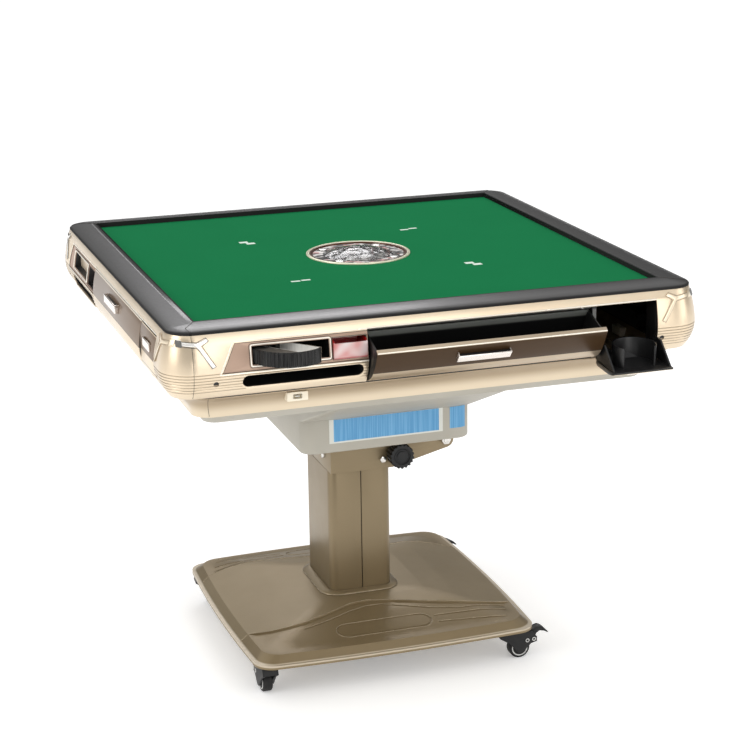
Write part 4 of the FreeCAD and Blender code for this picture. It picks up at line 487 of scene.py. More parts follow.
# The field inside the curve is pressed in and catches less light.
sunk = (abs(along) - curve * (FIELD_REACH / 1000)).step(-0.0012, 0.0012)
base_paint.cover(sunk * 0.75, (0.225, 0.168, 0.090), 0.36, 0.5)
# A pale band round the step of the rim: a painted highlight.
rim = base_paint.place.part("Z").within(0.0640, 0.0682, 0.0008)
base_paint.cover(rim * 0.7, (0.66, 0.58, 0.46), 0.3, 0.5)
# A lighter bronze for the beads along the pressed edges and round the collar: painted highlights.
bronze_highlight = metallic_paint("bronze_edges", (0.40, 0.33, 0.23), (0.50, 0.42, 0.30), 0.26)
frame_black = Finish("frame_paint", (0.02, 0.02, 0.02), Roughness=0.5)
frame_black.gloss(90.0, 0.2, 0.4)
frame_black.bump(frame_black.noise(700.0), 0.00004)
dress("base_cover", base_paint, 0.0, 24.0)
dress("base_frame", frame_black, 0.0005)
cover = surface_of("base_cover")
edges = []
for turn in (1, -1):
    edges.append(stroke(cover, FIELD, turn, 0.8))
    edges.append(stroke(cover, WAVE, turn, 2.4))
    edges.append(stroke(cover, loop_plan(-101, 80, -203, 20.5), turn, -0.6))
    edges += [stroke(cover, line, turn, 2.4) for line in STROKES]
beads("base_pressed_edges", edges, 0.0005, bronze_highlight, "pedestal", sides=6)


# ------------------------------------------------------------------ column
# Two folded sheet-steel claddings that meet at a dark seam, and the sloping collar
# that closes the gap to the base.

for node in ("column_shell_left", "column_shell_right", "column_collar"):
    dress(node, bronze, 0.0005)
collar = surface_of("column_collar")
COLUMN_X, RIM_Z = -0.028, 0.1085   # middle of the column, height of the collar's bead
# The collar's rim gets a bead of painted highlight.
rim = []
for angle in range(0, 360, 6):
    outward = Vector((math.cos(math.radians(angle)), math.sin(math.radians(angle)), 0))
    rim.append(landed(collar, Vector((COLUMN_X, 0, RIM_Z)) + outward * 0.3, -outward))
beads("collar_rim", [[p for p in rim if p]], 0.0008, bronze_highlight, "pedestal", closed=True, sides=6)


# ------------------------------------------------------------------ fold joint
# A bronze channel on top of the column, the plate with two lugs that turns in it,
# zinc-plated bolts and a fluted black knob that clamps the fold.

zinc = Finish("zinc_plate", (0.62, 0.60, 0.56), Metallic=1.0, Roughness=0.22)
zinc.tint((0.55, 0.53, 0.49), (0.80, 0.78, 0.74), zinc.noise(260.0, 4.0))
zinc.gloss(500.0, 0.2, 0.12, 3.0)
zinc.bump(zinc.noise(900.0), 0.00003)
dress("fold_bracket", bronze, 0.0008)
dress("hinge_plate", bronze, 0.0006)
dress("bracket_bolts", zinc, 0.0005)
dress("lock_knob", nylon, 0.0005)
KNOB_X, KNOB_Z = 0.042, 0.374
knob_face = landed(surface_of("lock_knob"), (KNOB_X + 0.010, -0.3, KNOB_Z), (0, 1, 0)).y
beads("knob_rings", [circle((KNOB_X, knob_face, KNOB_Z), (0, 1, 0), radius) for radius in (0.0075, 0.0135)],
      0.0007, nylon, "lock_knob", closed=True)


# ------------------------------------------------------------------ housing
# A grey powder-coated hopper that narrows to the control box with rounded corners. Two
# plain blue film labels, one framed in white, are stuck on the box's front.

powder = Finish("grey_powder_coat", (0.40, 0.375, 0.315), Roughness=0.5)
powder.tint((0.385, 0.362, 0.305), (0.44, 0.418, 0.362), powder.noise(5.0, 3.0).step(0.3, 0.7))
powder.gloss(120.0, 0.12, 0.42)
powder.bump(powder.noise(1100.0, 2.0), 0.00006)
dress("chassis_pan", powder, 0.0)
dress("control_box", powder, 0.0008)


def thicken(piece, thickness):
    """Gives a sheet its thickness behind the outer face."""
    wall = piece.modifiers.new("wall", "SOLIDIFY")
    wall.thickness = thickness
    wall.offset = -1.0


def plate(name, rows, thickness, finish, body):
    """A thin sheet over rows of points; the rows give its outer face."""
    count = len(rows[0])
    faces = [(r * count + i, r * count + i + 1, (r + 1) * count + i + 1, (r + 1) * count + i)
             for r in range(len(rows) - 1) for i in range(count - 1)]
    mesh = bpy.data.meshes.new(name)
    mesh.from_pydata([point for row in rows for point in row], [], faces)
    mesh.materials.append(finish.material)
    piece = add_object(name, mesh)
    thicken(piece, thickness)
    edge = piece.modifiers.new("edge", "BEVEL")
    edge.width = thickness * 0.3
    edge.segments = 2
    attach(piece, body)
    return piece


BOX_CORE, BOX_CORNER = 134, 26     # the box's corner arcs


def label(name, x0, x1, z0, z1, lift, finish):
    """A film on the box's front that bends round its right-hand corner."""
    across = [x0 + (x1 - x0) * column / 24 for column in range(25)]
    depths = [BOX_CORE + math.sqrt(BOX_CORNER ** 2 - max(0.0, x - BOX_CORE) ** 2) + lift for x in across]
    heights = [z0 + (z1 - z0) * step / 4 for step in range(5)]
    rows = [[Vector((x, -depth, z)) / 1000 for x, depth in zip(across, depths)] for z in heights]
    return plate(name, rows, 0.0003, finish, "table_top")


film_white = Finish("label_white", (0.66, 0.67, 0.62), Roughness=0.4)
film_white.tint((0.62, 0.63, 0.58), (0.70, 0.71, 0.66), film_white.noise(40.0))
film_blue = Finish("label_blue", (0.10, 0.36, 0.68), Roughness=0.3)
streaks = film_blue.noise(1.0, 3.0, 0.6, film_blue.stretched((420.0, 1.0, 6.0)))
film_blue.tint((0.070, 0.285, 0.545), (0.16, 0.41, 0.665), streaks.step(0.35, 0.75))
film_blue.gloss(200.0, 0.1, 0.25)
label("label_border", -111, 104, 430.5, 475, 0.4, film_white)
label("label_panel", -102.6, 96.5, 433.5, 474.6, 0.65, film_blue)
label("label_side_panel", 117.5, 148, 434, 474.6, 0.4, film_blue)


# ------------------------------------------------------------------ side mouldings
# Four champagne metallic mouldings, each wrapping one corner, on a ring cover below. A
# tan film lies in the shallow field beside the drawer, with a painted highlight on the raised edge round it.

CHAMPAGNE_DARK, CHAMPAGNE_LIGHT = (0.69, 0.565, 0.405), (0.79, 0.665, 0.50)
HOLLOW = (0.006, 0.006, 0.006)
FILM = (0.42, 0.285, 0.21)
# The moulding's section: three heights, how far out it is, and how it draws in above and below.
FOOT_Z, FULLEST_Z, TOP_Z = 629, 673, 734
FULLEST_OUT, TOP_TUCK, FOOT_TUCK = 467, 12, 17
TOP_CURVE, FOOT_CURVE = 1.6, 2.2
CORE, SEAM_PAST = 413, 8.5         # centre of the corner arcs, and the joint's place past it


def closed_place(finish, side, tilt=None, swing=None):
    """Lays a finish out on its side as the front side stands when all is closed.

    tilt is the depth, the height and the opening angle of a level hinge; swing is the place
    along the side, the depth and the angle of an upright one."""
    turn = (0.0, 0.0, math.radians(-90.0 * SIDES.index(side)))
    move = Vector((0, 0, 0))
    if side == "front" and tilt:
        depth, height, angle = tilt
        turn = (math.radians(-angle), 0.0, 0.0)
        pin = Vector((0, -depth, height))
        move = pin - Matrix.Rotation(math.radians(-angle), 3, "X") @ pin
    if side == "front" and swing:
        along, depth, angle = swing
        turn = (0.0, 0.0, math.radians(-angle))
        pin = Vector((along, -depth, 0))
        move = pin - Matrix.Rotation(math.radians(-angle), 3, "Z") @ pin
    finish.place = finish.stretched((1.0, 1.0, 1.0), turn, move)
    return finish


def below_face(finish, cap=1.0):
    """How deep a point lies under the moulding's face, in metres, and its height."""
    height = finish.place.part("Z")
    above = ((height - FULLEST_Z / 1000) / ((TOP_Z - FULLEST_Z) / 1000)).at_least(0.0) ** TOP_CURVE
    below = ((FULLEST_Z / 1000 - height) / ((FULLEST_Z - FOOT_Z) / 1000)).at_least(0.0) ** FOOT_CURVE
    face = (FULLEST_OUT / 1000 - above * (TOP_TUCK / 1000) - below * (FOOT_TUCK / 1000)).at_most(cap)
    beyond_x = (abs(finish.place.part("X")) - CORE / 1000).at_least(0.0)
    beyond_y = (abs(finish.place.part("Y")) - CORE / 1000).at_least(0.0)
    reach = (beyond_x * beyond_x + beyond_y * beyond_y) ** 0.5 + CORE / 1000
    return face - reach, height


def face_depth(z):
    """Depth of the moulding's face at a height, in millimetres."""
    if z >= FULLEST_Z:
        return FULLEST_OUT - TOP_TUCK * ((z - FULLEST_Z) / (TOP_Z - FULLEST_Z)) ** TOP_CURVE
    return FULLEST_OUT - FOOT_TUCK * ((FULLEST_Z - z) / (FULLEST_Z - FOOT_Z)) ** FOOT_CURVE


def corner_depth(s, z, lift=0.0):
    """Depth of a point of the face, lifted off it, also round the left-hand corner."""
    return CORE + math.sqrt((face_depth(z) - CORE + lift) ** 2 - max(0.0, -CORE - s) ** 2)


def on_side(side, s, depth, z, tilt=None):
    """A point of a side in metres, from millimetres on the closed front side."""
    point = Vector((s, -depth, z)) / 1000
    if side == "front" and tilt:
        pin = Vector((0, -tilt[0], tilt[1]))
        point = pin + Matrix.Rotation(math.radians(tilt[2]), 3, "X") @ (point - pin)
    return Matrix.Rotation(math.radians(90.0 * SIDES.index(side)), 3, "Z") @ point


def walk(corners, step=8.0):
    """Points along straight runs between (s, z) corners."""
    chain = []
    for (s0, z0), (s1, z1) in zip(corners[:-1], corners[1:]):
        count = max(1, round(math.hypot(s1 - s0, z1 - z0) / step))
        chain += [(s0 + (s1 - s0) * i / count, z0 + (z1 - z0) * i / count) for i in range(count)]
    return chain + [corners[-1]]


def on_face(side, corners, sink, tilt=None):
    """A chain along (s, z) corners that follows the moulding's face, sink under it."""
    return [on_side(side, s, face_depth(z) - sink, z, tilt) for s, z in walk(corners)]


def rounded(s0, s1, z0, z1, radius):
    """Corners of a rectangle with rounded ends, as a loop of (s, z)."""
    loop = []
    for cs, cz, start in ((s1 - radius, z0 + radius, -90), (s1 - radius, z1 - radius, 0),
                          (s0 + radius, z1 - radius, 90), (s0 + radius, z0 + radius, 180)):
        for turn in range(0, 91, 30):
            angle = math.radians(start + turn)
            loop.append((cs + radius * math.cos(angle), cz + radius * math.sin(angle)))
    return loop + loop[:1]


# The ring cover is painted darker than the mouldings, as shade under their overhang, and paler on its foot, as painted
# light.
champagne = metallic_paint("champagne_cover", (0.37, 0.285, 0.185), (0.44, 0.345, 0.235), 0.34, metallic=0.6)
champagne.cover(1 - champagne.place.part("Z").step(0.588, 0.610), (0.70, 0.59, 0.435), 0.3, 0.5)
# A thin near-black band along its top: a painted shadow line under the mouldings.
champagne.cover(champagne.place.part("Z").step(0.6260, 0.6264), (0.03, 0.024, 0.018), 0.6)
highlight = metallic_paint("champagne_edges", (0.90, 0.84, 0.72), (0.97, 0.92, 0.82), 0.25, metallic=0.35)
joint_dark = Finish("joint_line", (0.035, 0.028, 0.022), Roughness=0.6)
joint_dark.gloss(400.0, 0.2, 0.5)
dress("lower_cover", champagne, 0.0, 24.0)
ring_cover = surface_of("lower_cover")
for side in SIDES:
    paint = Finish("champagne_moulding_" + side, CHAMPAGNE_LIGHT, Metallic=0.7, Roughness=0.3, Coat_Weight=0.25,
                   Coat_Roughness=0.22)
    closed_place(paint, side)
    flaked(paint, CHAMPAGNE_DARK, CHAMPAGNE_LIGHT, 0.3)
    depth, height = below_face(paint)
    # The grooves are painted darker: painted shade in them.
    groove_shade = depth.step(0.0004, 0.0009) * height.within(0.639, 0.6714, 0.0004)
    paint.cover(groove_shade * 0.8, (0.20, 0.145, 0.09), 0.45, 0.3)
    film = depth.step(0.0006, 0.0009) * height.within(0.6713, 0.7167, 0.0002)
    paint.cover(film, FILM, 0.32, 0.35)
    # Everything more than 2.3 mm under the face, in the openings and pockets, is painted near black: painted shade.
    paint.cover(depth.step(0.0023, 0.0026), HOLLOW, 0.5)
    dress("skirt_" + side, paint, 0.0004, 24.0)
    field = [(-134, 671.2), (-375.2, 671.2), (-353.4, 716.8), (-134, 716.8)]
    beads("inlay_line_" + side, [on_face(side, field, 0.15)], 0.00045, joint_dark, "table_top")
    outer = [(-134, 668.6), (-379.4, 668.6), (-355.6, 719.6), (-134, 719.6)]
    beads("inlay_bevel_" + side, [on_face(side, outer, 0.9)], 0.0014, highlight, "table_top")
    lip = [on_face(side, [(-134, 720.4), (377, 720.4)], 0.2)]
    beads("opening_lip_" + side, lip, 0.0014, highlight, "table_top")
    frames = [on_face(side, rounded(-328.2, -196.8, 677.8, 711.6, 3), 0.75)]
    beads("ashtray_frame_" + side, frames, 0.0013, highlight, "table_top")
    lines = [on_face(side, rounded(-330.4, -194.8, 675.6, 713.8, 4), 1.0),
             on_face(side, rounded(-194.4, -135.2, 675.0, 711.0, 2), 0.9)]
    beads("opening_lines_" + side, lines, 0.0004, joint_dark, "table_top")
    outward = on_side(side, 0, 1000, 0).normalized()
    seam_s = -CORE - SEAM_PAST
    heights = [630.5 + 102.5 * step / 26 for step in range(27)]
    seam = [on_side(side, seam_s, corner_depth(seam_s, z) - 0.15, z) for z in heights]
    cover_seam = []
    for step in range(9):
        z = 585 + 41 * step / 8
        start = on_side(side, -386.0 - 6.6 * (z - 585) / 41, 600, z)
        cover_seam.append(landed(ring_cover, start, -outward))
    beads("joint_lines_" + side, [seam, [p for p in cover_seam if p]], 0.0004, joint_dark, "table_top", sides=6)


# ------------------------------------------------------------------ drawers
# A curved champagne front with a brown film on its upper part and a bright pull, a black
# tray behind it on hinge pins, and a grey strip with pan-head screws over the opening.

DRAWER_TILT = (0.446, 0.637, 40.0)


def head_tree():
    """Geometry Nodes: a cross-slotted pan head on every point, facing its own way."""
    tree, given, result = new_tree("pan_heads", ("Radius", "NodeSocketFloat"), ("Material", "NodeSocketMaterial"),
                                   ("Slot", "NodeSocketMaterial"))
    radius = given["Radius"]
    facing = add_node(tree, "GeometryNodeInputNamedAttribute", {"data_type": "FLOAT_VECTOR"}, {"Name": "facing"})
    turn = add_node(tree, "FunctionNodeAlignRotationToVector", {"axis": "Z"}, {"Vector": facing})
    dish = add_node(tree, "GeometryNodeMeshCone", {},
                    {"Vertices": 24, "Radius Top": radius * 0.62, "Radius Bottom": radius, "Depth": radius * 0.5})
    arm = radius * 0.24
    joined = tree.nodes.new("GeometryNodeJoinGeometry")
    for x, y in ((radius, arm), (arm, radius)):
        size = add_node(tree, "ShaderNodeCombineXYZ", {}, {"X": x, "Y": y, "Z": arm})
        bar = add_node(tree, "GeometryNodeMeshCube", {}, {"Size": size})
        tree.links.new(bar.socket, joined.inputs[0])
    lift = add_node(tree, "ShaderNodeCombineXYZ", {}, {"X": 0.0, "Y": 0.0, "Z": radius * 0.41})
    slot = add_node(tree, "GeometryNodeTransform", {}, {"Geometry": Signal(tree, joined.outputs[0]),
                                                        "Translation": lift})
    slot = add_node(tree, "GeometryNodeSetMaterial", {}, {"Geometry": slot, "Material": given["Slot"]})
    dish = add_node(tree, "GeometryNodeSetMaterial", {}, {"Geometry": dish, "Material": given["Material"]})
    head = tree.nodes.new("GeometryNodeJoinGeometry")
    tree.links.new(dish.socket, head.inputs[0])
    tree.links.new(slot.socket, head.inputs[0])
    placed = add_node(tree, "GeometryNodeInstanceOnPoints", {},
                      {"Points": given["Geometry"], "Instance": Signal(tree, head.outputs[0]), "Rotation": turn})
    real = add_node(tree, "GeometryNodeRealizeInstances", {}, {"Geometry": placed})
    tree.links.new(real.socket, result.inputs[0])
    return tree


HEADS = head_tree()


def screws(name, places, radius, body):
    """Pan-head screws at (point, facing) pairs."""
    seed = bpy.data.meshes.new(name)
    seed.from_pydata([point for point, facing in places], [], [])
    towards = seed.attributes.new("facing", "FLOAT_VECTOR", "POINT")
    for item, (point, facing) in zip(towards.data, places):
        item.vector = facing
    return grow(name, seed, HEADS, {"Radius": radius, "Material": zinc.material, "Slot": joint_dark.material}, body)


pull_shade_black = Finish("pull_shade_black", (0.008, 0.008, 0.008), Roughness=0.3, Specular_IOR_Level=0.4)
pull_shade_black.gloss(80.0, 0.18, 0.22, 3.0)
strip_grey = Finish("strip_grey", (0.10, 0.10, 0.095), Roughness=0.35, Metallic=0.4)
strip_grey.tint((0.07, 0.07, 0.066), (0.14, 0.14, 0.132), strip_grey.noise(8.0, 2.0))
strip_grey.gloss(300.0, 0.15, 0.28)
# The front drawer stands open with its face to the floor; its paint and film are painted darker, as shade.
SHADED_DRAWER_DARK, SHADED_DRAWER_LIGHT = (0.48, 0.385, 0.275), (0.56, 0.455, 0.335)
# The film's brown in painted shade on the open drawer, and its tone when shut.
BROWN, BROWN_SHUT = (0.055, 0.030, 0.013), (0.185, 0.125, 0.080)
PULL = (0.86, 0.80, 0.75)
FILM_LOW, FILM_HIGH = 0.6722, 0.7150
for side in SIDES:
    tilt = DRAWER_TILT if side == "front" else None
    film_tone = BROWN if tilt else BROWN_SHUT
    paint = Finish("champagne_drawer_" + side, CHAMPAGNE_LIGHT, Metallic=0.7, Roughness=0.3,
                   Coat_Weight=0.05 if tilt else 0.25, Coat_Roughness=0.22, Specular_IOR_Level=0.2 if tilt else 0.5)
    closed_place(paint, side, tilt=DRAWER_TILT)
    if tilt:
        flaked(paint, SHADED_DRAWER_DARK, SHADED_DRAWER_LIGHT, 0.34)
    else:
        flaked(paint, CHAMPAGNE_DARK, CHAMPAGNE_LIGHT, 0.3)
    depth, height = below_face(paint)
    paint.cover(height.within(FILM_LOW, FILM_HIGH, 0.0003), film_tone, 0.34, 0.2)
    paint.cover(height.within(FILM_LOW - 0.0010, FILM_LOW, 0.0002), HOLLOW, 0.5)
    # A near-black band along the drawer front's bottom edge: a painted shadow line.
    paint.cover(1 - height.step(0.6330, 0.6334), (0.05, 0.038, 0.026), 0.5)
    # Points more than 1 mm under the face, below the film's top, are painted near black: painted shade in the hollows.
    paint.cover(depth.step(0.0010, 0.0013) * (1 - height.step(FILM_HIGH - 0.0005, FILM_HIGH)), HOLLOW, 0.5)
    paint.cover((0 - depth).step(0.0002, 0.0005), PULL, 0.2, 0.9)
    dress("drawer_front_" + side, paint, 0.0004)
    tray = Finish("tray_black_" + side, (0.008, 0.008, 0.008), Roughness=0.3, Specular_IOR_Level=0.4)
    closed_place(tray, side, tilt=DRAWER_TILT)
    tray.gloss(80.0, 0.18, 0.22, 3.0)
    tray.bump(tray.noise(1500.0), 0.00003)
    back_wall = (tray.place.part("Y") + 0.3990).step(-0.0005, 0.0005)
    tray.cover(back_wall * tray.place.part("Z").step(0.655, 0.688), (0.20, 0.21, 0.195), 0.4)
    dress("drawer_tray_" + side, tray, 0.0004)
    body = "drawer_" + side
    edge = [on_face(side, [(-132, 716.1), (265.5, 716.1)], 1.0, tilt)]
    beads("drawer_edge_" + side, edge, 0.0011, highlight, body)
    # A black sheet in each pull's recess: painted shade.
    liner = [[on_side(side, s, depth, 699.5, tilt) for s in (8, 50, 94)]
             for depth in (face_depth(699.5) + 8.2 - 1.4, face_depth(699.5) + 0.3)]
    plate("pull_shade_sheet_" + side, liner, 0.0004, pull_shade_black, body)
    strip = [[on_side(side, s, depth, z) for s in (-133, 60, 262)]
             for depth, z in ((450.3, 713.6), (450.3, 716), (450.3, 718.7))]
    plate("opening_strip_" + side, strip, 0.006, strip_grey, "table_top")
    post = [[on_side(side, s, 450.95, z) for s in (264.2, 267, 270.4)] for z in (646, 680, 712.5)]
    plate("divider_face_" + side, post, 0.0004, strip_grey, "table_top")
    outward = on_side(side, 0, 1000, 0).normalized()
    screws("opening_screws_" + side, [(on_side(side, 245, 450.6, 716.1), outward)], 0.0024, "table_top")


# ------------------------------------------------------------------ cup flaps
# Black moulded flaps with two wings and an open ring for the cup. The outer face carries
# the same tan film and bright pull as the drawer beside it.

FLAP_TILT, FLAP_OUT = (0.447, 0.634, 93.0), 0.464
for side in SIDES:
    paint = Finish("flap_nylon_" + side, (0.008, 0.008, 0.008), Roughness=0.34, Specular_IOR_Level=0.4)
    closed_place(paint, side, tilt=FLAP_TILT)
    paint.tint((0.006, 0.006, 0.0065), (0.013, 0.013, 0.0135), paint.noise(60.0))
    paint.gloss(900.0, 0.16, 0.24)
    paint.bump(paint.cells(1400.0), 0.00003)
    depth, height = below_face(paint, FLAP_OUT)
    outside = 1 - depth.step(0.0004, 0.0007)
    paint.cover(outside, CHAMPAGNE_LIGHT, 0.3, 0.55)
    paint.cover(outside * height.within(FILM_LOW, FILM_HIGH, 0.0003), BROWN_SHUT, 0.34, 0.2)
    paint.cover((0 - depth).step(0.0002, 0.0005), PULL, 0.2, 0.9)
    dress("cup_flap_" + side, paint, 0.0005)


# ------------------------------------------------------------------ ashtrays
# Ribbed black drums that swivel out, each with a brushed steel dish. The flat face that
# shows when one is shut is champagne, with a finger recess at its right end.

DRUM_SWING, DRUM_FLAT = (-0.2625, 0.449, 129.0), 0.4525
steel = Finish("dish_steel", (0.92, 0.91, 0.89), Metallic=0.4, Roughness=0.3)
brushed = steel.noise(1.0, 4.0, 0.6, steel.stretched((900.0, 30.0, 30.0), (0.0, 0.0, math.radians(35.0))))
steel.tint((0.80, 0.79, 0.76), (0.97, 0.96, 0.93), brushed.step(0.3, 0.7))
steel.drive("Roughness", brushed * 0.16 + 0.14)
steel.bump(brushed, 0.00002)
for side in SIDES:
    paint = Finish("drum_nylon_" + side, (0.006, 0.006, 0.006), Roughness=0.32, Specular_IOR_Level=0.28)
    closed_place(paint, side, swing=DRUM_SWING)
    streaks = paint.noise(1.0, 2.0, 0.5, paint.stretched((260.0, 260.0, 20.0)))
    paint.tint((0.004, 0.004, 0.0045), (0.022, 0.022, 0.021), streaks.step(0.35, 0.7))
    paint.gloss(500.0, 0.14, 0.24)
    shown = (0 - paint.place.part("Y")).step(DRUM_FLAT, DRUM_FLAT + 0.0003)
    paint.cover(shown, CHAMPAGNE_LIGHT, 0.3, 0.55)
    dress("ashtray_drum_" + side, paint, 0.0)
    dress("ashtray_dish_" + side, steel, 0.0)


# ------------------------------------------------------------------ chip bins
# Bins moulded in clear red plastic beside the ashtrays: pink with pale patches of painted highlight, and
# deeper red inside and along the top and bottom; each slides in a sleeve of its side moulding.

BIN_FACE, BIN_OPEN = 0.448, 0.022
for side in SIDES:
    front = BIN_FACE + (BIN_OPEN if side == "front" else 0.0)
    red = Finish("clear_red_" + side, (0.80, 0.10, 0.085), Roughness=0.12, Transmission_Weight=0.35, IOR=1.49)
    # The pale patches over the pink are painted highlights on the clear plastic.
    red.tint((0.84, 0.26, 0.24), (1.0, 0.88, 0.86), red.noise(34.0, 1.0).step(0.25, 0.75))
    x, y, z = (red.place.part(axis) for axis in "XYZ")
    inside = 1 - abs(x).at_least(abs(y)).step(front - 0.0045, front - 0.0025)
    deep = (inside + (1 - z.within(0.6785, 0.7030, 0.0012)) * 0.6).at_most(1.0)
    red.cover(deep, (0.50, 0.012, 0.012), 0.15)
    red.gloss(60.0, 0.08, 0.08)
    red.bump(red.noise(90.0, 2.0), 0.0002)
    dress("chip_bin_" + side, red, 0.0004)


# ------------------------------------------------------------------ trims and ports
# Bright Y-shaped trims at the corners, champagne-toned on the right-hand ones, and ivory
# charging-port plates with a white tongue in the socket.

chrome = Finish("bright_trim", (0.93, 0.91, 0.87), Metallic=0.45, Roughness=0.2)
chrome.gloss(200.0, 0.1, 0.15, 3.0)
x, y = chrome.place.part("X"), chrome.place.part("Y")
right_hand = (x * y * (abs(x) - abs(y))).step(-0.00001, 0.00001)
chrome.cover(right_hand, (0.80, 0.69, 0.52), 0.28, 0.6)
ivory = Finish("ivory_plastic", (0.88, 0.80, 0.64), Roughness=0.3)
ivory.tint((0.84, 0.76, 0.60), (0.90, 0.83, 0.68), ivory.noise(80.0))
ivory.gloss(300.0, 0.15, 0.22)
dress("corner_trims", chrome, 0.0004)
Y_OUTLINE = ((-437, 725.4), (-425, 724.4), (-414, 723.6), (-399, 730.0), (-394.5, 724.6), (-405.5, 717.5),
             (-385.6, 684.0), (-391.6, 681.2), (-413, 714.6), (-425, 716.6), (-437, 718.0))


def face_plate(name, side, outline, lift, thickness, finish):
    """A flat-topped plate over the moulding's face, round its left corner too."""
    points = [on_side(side, s, corner_depth(s, z, lift), z) for s, z in outline]
    count = len(points)
    middle = sum(points, Vector()) / count
    mesh = bpy.data.meshes.new(name)
    mesh.from_pydata([*points, middle], [], [(count, (i + 1) % count, i) for i in range(count)])
    mesh.materials.append(finish.material)
    piece = add_object(name, mesh)
    thicken(piece, thickness)
    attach(piece, "table_top")


film_edge = metallic_paint("trim_champagne_edge", (0.42, 0.34, 0.25), (0.52, 0.43, 0.32), 0.4)
for side in SIDES:
    pad = [(-445.5, 728), (-437.5, 727.4), (-437.5, 716.6), (-445.5, 717.2)]
    face_plate("trim_pad_" + side, side, pad, 1.7, 0.0006, strip_grey)
    for hand, line in ((1, strip_grey), (-1, film_edge)):
        edge = [on_side(side, s * hand, corner_depth(s, z, 1.4), z) for s, z in Y_OUTLINE]
        name = "trim_outline_%s_%s" % ("left" if hand > 0 else "right", side)
        beads(name, [edge], 0.00055, line, "table_top", closed=True, sides=6)
dress("usb_plates", ivory, 0.0006)
for side in SIDES:
    socket = [on_side(side, s, 434.05, z) for s, z in walk(rounded(-252, -238, 607.4, 614.6, 0.8), 3.0)]
    beads("port_line_" + side, [socket], 0.0003, joint_dark, "table_top")
    tongue = [[on_side(side, s, depth, 611.4) for s in (-249, -245, -241)] for depth in (432.5, 426)]
    plate("port_tongue_" + side, tongue, 0.0014, hub_pale, "table_top")


# ------------------------------------------------------------------ play field
# A board under stretched green cloth with white corner marks, framed by four dark satin
# rails that meet at slanted joints.

board = Finish("play_board", (0.35, 0.25, 0.15), Roughness=0.7)
board.tint((0.30, 0.21, 0.12), (0.42, 0.31, 0.19), board.noise(90.0, 5.0))
dress("play_board", board, 0.0)
rail = Finish("rail_grey", (0.018, 0.017, 0.0165), Roughness=0.28, Coat_Weight=0.2, Coat_Roughness=0.15)
rail.tint((0.015, 0.014, 0.0135), (0.022, 0.021, 0.0205), rail.noise(30.0, 4.0))
rail.gloss(200.0, 0.12, 0.26, 3.0)
# The foot of each rail and its inner edge are painted near black and dull: painted shade along the joint with the
# moulding and along the cloth.
reach = abs(rail.place.part("X")).at_least(abs(rail.place.part("Y")))
shade_band = (1 - rail.place.part("Z").step(0.7378, 0.7386)).at_least(1 - reach.step(0.4066, 0.4076))
rail.cover(shade_band, (0.003, 0.003, 0.003), 0.8)
rail.drive("Coat Weight", (1 - shade_band) * 0.2)
rail.bump(rail.noise(700.0), 0.00003)
dress("edge_rails", rail, 0.0006)
rails = surface_of("edge_rails")
RAIL_INNER, JOINT_LEAN, JOINT_KINK = 404, 22, 33
joints = []
for side in SIDES:
    run = [(-RAIL_INNER - JOINT_LEAN * t / JOINT_KINK, -RAIL_INNER - t) for t in range(0, JOINT_KINK, 3)]
    run += [(-RAIL_INNER - JOINT_LEAN + (t - JOINT_KINK) / 4, -RAIL_INNER - t) for t in range(JOINT_KINK, 51, 3)]
    chain = [landed(rails, on_side(side, s, -d, 800), (0, 0, -1)) for s, d in run]
    joints.append([p for p in chain if p and p.z > 0.735])
beads("rail_joints", joints, 0.0005, joint_dark, "table_top", sides=6)

CLOTH_HALF, CLOTH_HOLE, CLOTH_TOP, CLOTH_THICK = 0.4037, 0.0953, 0.7355, 0.0014
SPOKES, BANDS = 128, 28
mesh = bpy.data.meshes.new("green_cloth")
points, faces = [], []
for band in range(BANDS + 1):
    for spoke in range(SPOKES):
        angle = math.tau * spoke / SPOKES
        across, along = math.cos(angle), math.sin(angle)
        rim = CLOTH_HALF / max(abs(across), abs(along))
        reach = CLOTH_HOLE + (rim - CLOTH_HOLE) * band / BANDS
        points.append((across * reach, along * reach, CLOTH_TOP))
for band in range(BANDS):
    for spoke in range(SPOKES):
        a, b = band * SPOKES + spoke, band * SPOKES + (spoke + 1) % SPOKES
        faces.append((a, a + SPOKES, b + SPOKES, b))
mesh.from_pydata(points, [], faces)
green_cloth = add_object("green_cloth", mesh)
cloth = Finish("green_cloth", (0.007, 0.185, 0.062), Roughness=0.95, Specular_IOR_Level=0.05)
cloth.tint((0.0055, 0.165, 0.055), (0.0085, 0.205, 0.070), cloth.noise(9.0, 4.0) * 0.4 + cloth.noise(900.0, 3.0) * 0.6)
x, y = cloth.place.part("X"), cloth.place.part("Y")
# The white dashes in millimetres: middle and half depth of each, and half the length of all.
MARKS = ((-168, -169, 3.8), (-149, -166.5, 3.8), (145, 161, 3.8), (164, 167, 3.8),
         (-172, 167, 6.2), (-162, 153, 6.2), (160, -149, 6.2), (170, -163, 6.2))
DASH = 8.2
marks = 0.0
for mark_x, mark_y, half in MARKS:
    across = (x - mark_x / 1000).within(-DASH / 1000, DASH / 1000, 0.0006)
    along = (y - mark_y / 1000).within(-half / 1000, half / 1000, 0.0006)
    marks = across * along + marks
cloth.cover(marks.at_most(1.0), (0.80, 0.90, 0.82), 0.7)
cloth.bump(cloth.noise(1600.0, 3.0), 0.0003)
mesh.materials.append(cloth.material)
thicken(green_cloth, CLOTH_THICK)
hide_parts("play_cloth")
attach(green_cloth, "table_top")
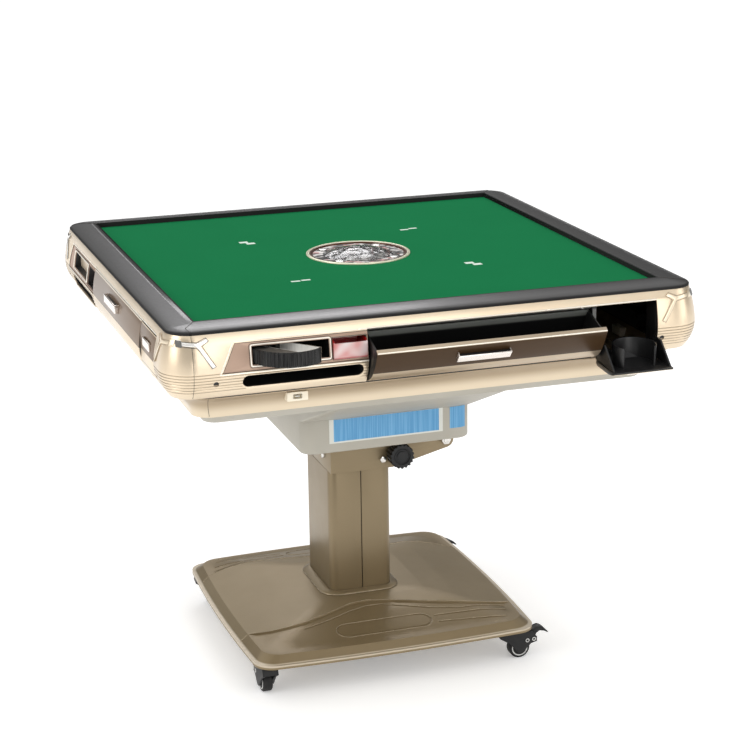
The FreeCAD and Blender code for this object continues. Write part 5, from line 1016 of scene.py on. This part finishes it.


# ------------------------------------------------------------------ dice unit
# A lifting disc with a gilt rim, a face patched in black, white and pink with steel buttons, and
# two dice under a clear dome; it rides in a round hole in the board.

disc = Finish("dice_unit_disc", (0.02, 0.018, 0.017), Roughness=0.4, Specular_IOR_Level=0.25)
disc.gloss(120.0, 0.12, 0.36)
x, y = disc.place.part("X"), disc.place.part("Y")
radius = (x * x + y * y) ** 0.5
FACE_R, BAND_R = 0.0830, 0.0895
inner = 1 - radius.step(FACE_R, FACE_R + 0.0006)
facets = disc.noise(1.0, 2.0, 0.6, disc.stretched((34.0, 80.0, 60.0), (0.0, 0.0, math.radians(12.0))))
pink = disc.noise(55.0, 1.0)
black = disc.noise(48.0, 1.0, where=disc.stretched((1.0, 2.2, 1.0), move=(0.3, 0.1, 0.0)))
disc.cover(inner * facets.step(0.47, 0.54), (0.74, 0.71, 0.68), 0.45)
disc.cover(inner * pink.step(0.56, 0.62) * 0.8, (0.62, 0.30, 0.28), 0.45)
disc.cover(inner * black.step(0.55, 0.60), (0.015, 0.013, 0.012), 0.45)
disc.cover(radius.within(FACE_R, BAND_R, 0.0004), (0.10, 0.040, 0.020), 0.25, 0.4)
top = disc.place.part("Z").step(0.7330, 0.7335)
disc.cover(radius.step(BAND_R, BAND_R + 0.0004) * top, (0.78, 0.76, 0.58), 0.3, 0.4)
buttons = disc.place.part("Z").step(0.7356, 0.7359) * (1 - radius.step(0.0845, 0.0850))
disc.cover(buttons, (0.75, 0.74, 0.72), 0.25, 0.9)
clear = Finish("clear_dome", (0.95, 0.96, 0.96), Roughness=0.12, Transmission_Weight=1.0, IOR=1.3)
clear.bump(clear.cells(70.0), 0.0012)
white = Finish("dice_white", (0.82, 0.81, 0.78), Roughness=0.22)
white.gloss(500.0, 0.1, 0.16)
dress("lift_disc", disc, 0.0005)
dress("dice_dome", clear, 0.0)
dress("dice", white, 0.0006)
gilt = Finish("gilt_rim", (0.84, 0.82, 0.62), Metallic=0.4, Roughness=0.2)
gilt.gloss(400.0, 0.12, 0.14)
beads("lift_rim", [circle((0, 0, 0.7372), (0, 0, 1), 0.0925, 96)], 0.0012, gilt, "dice_unit", closed=True)
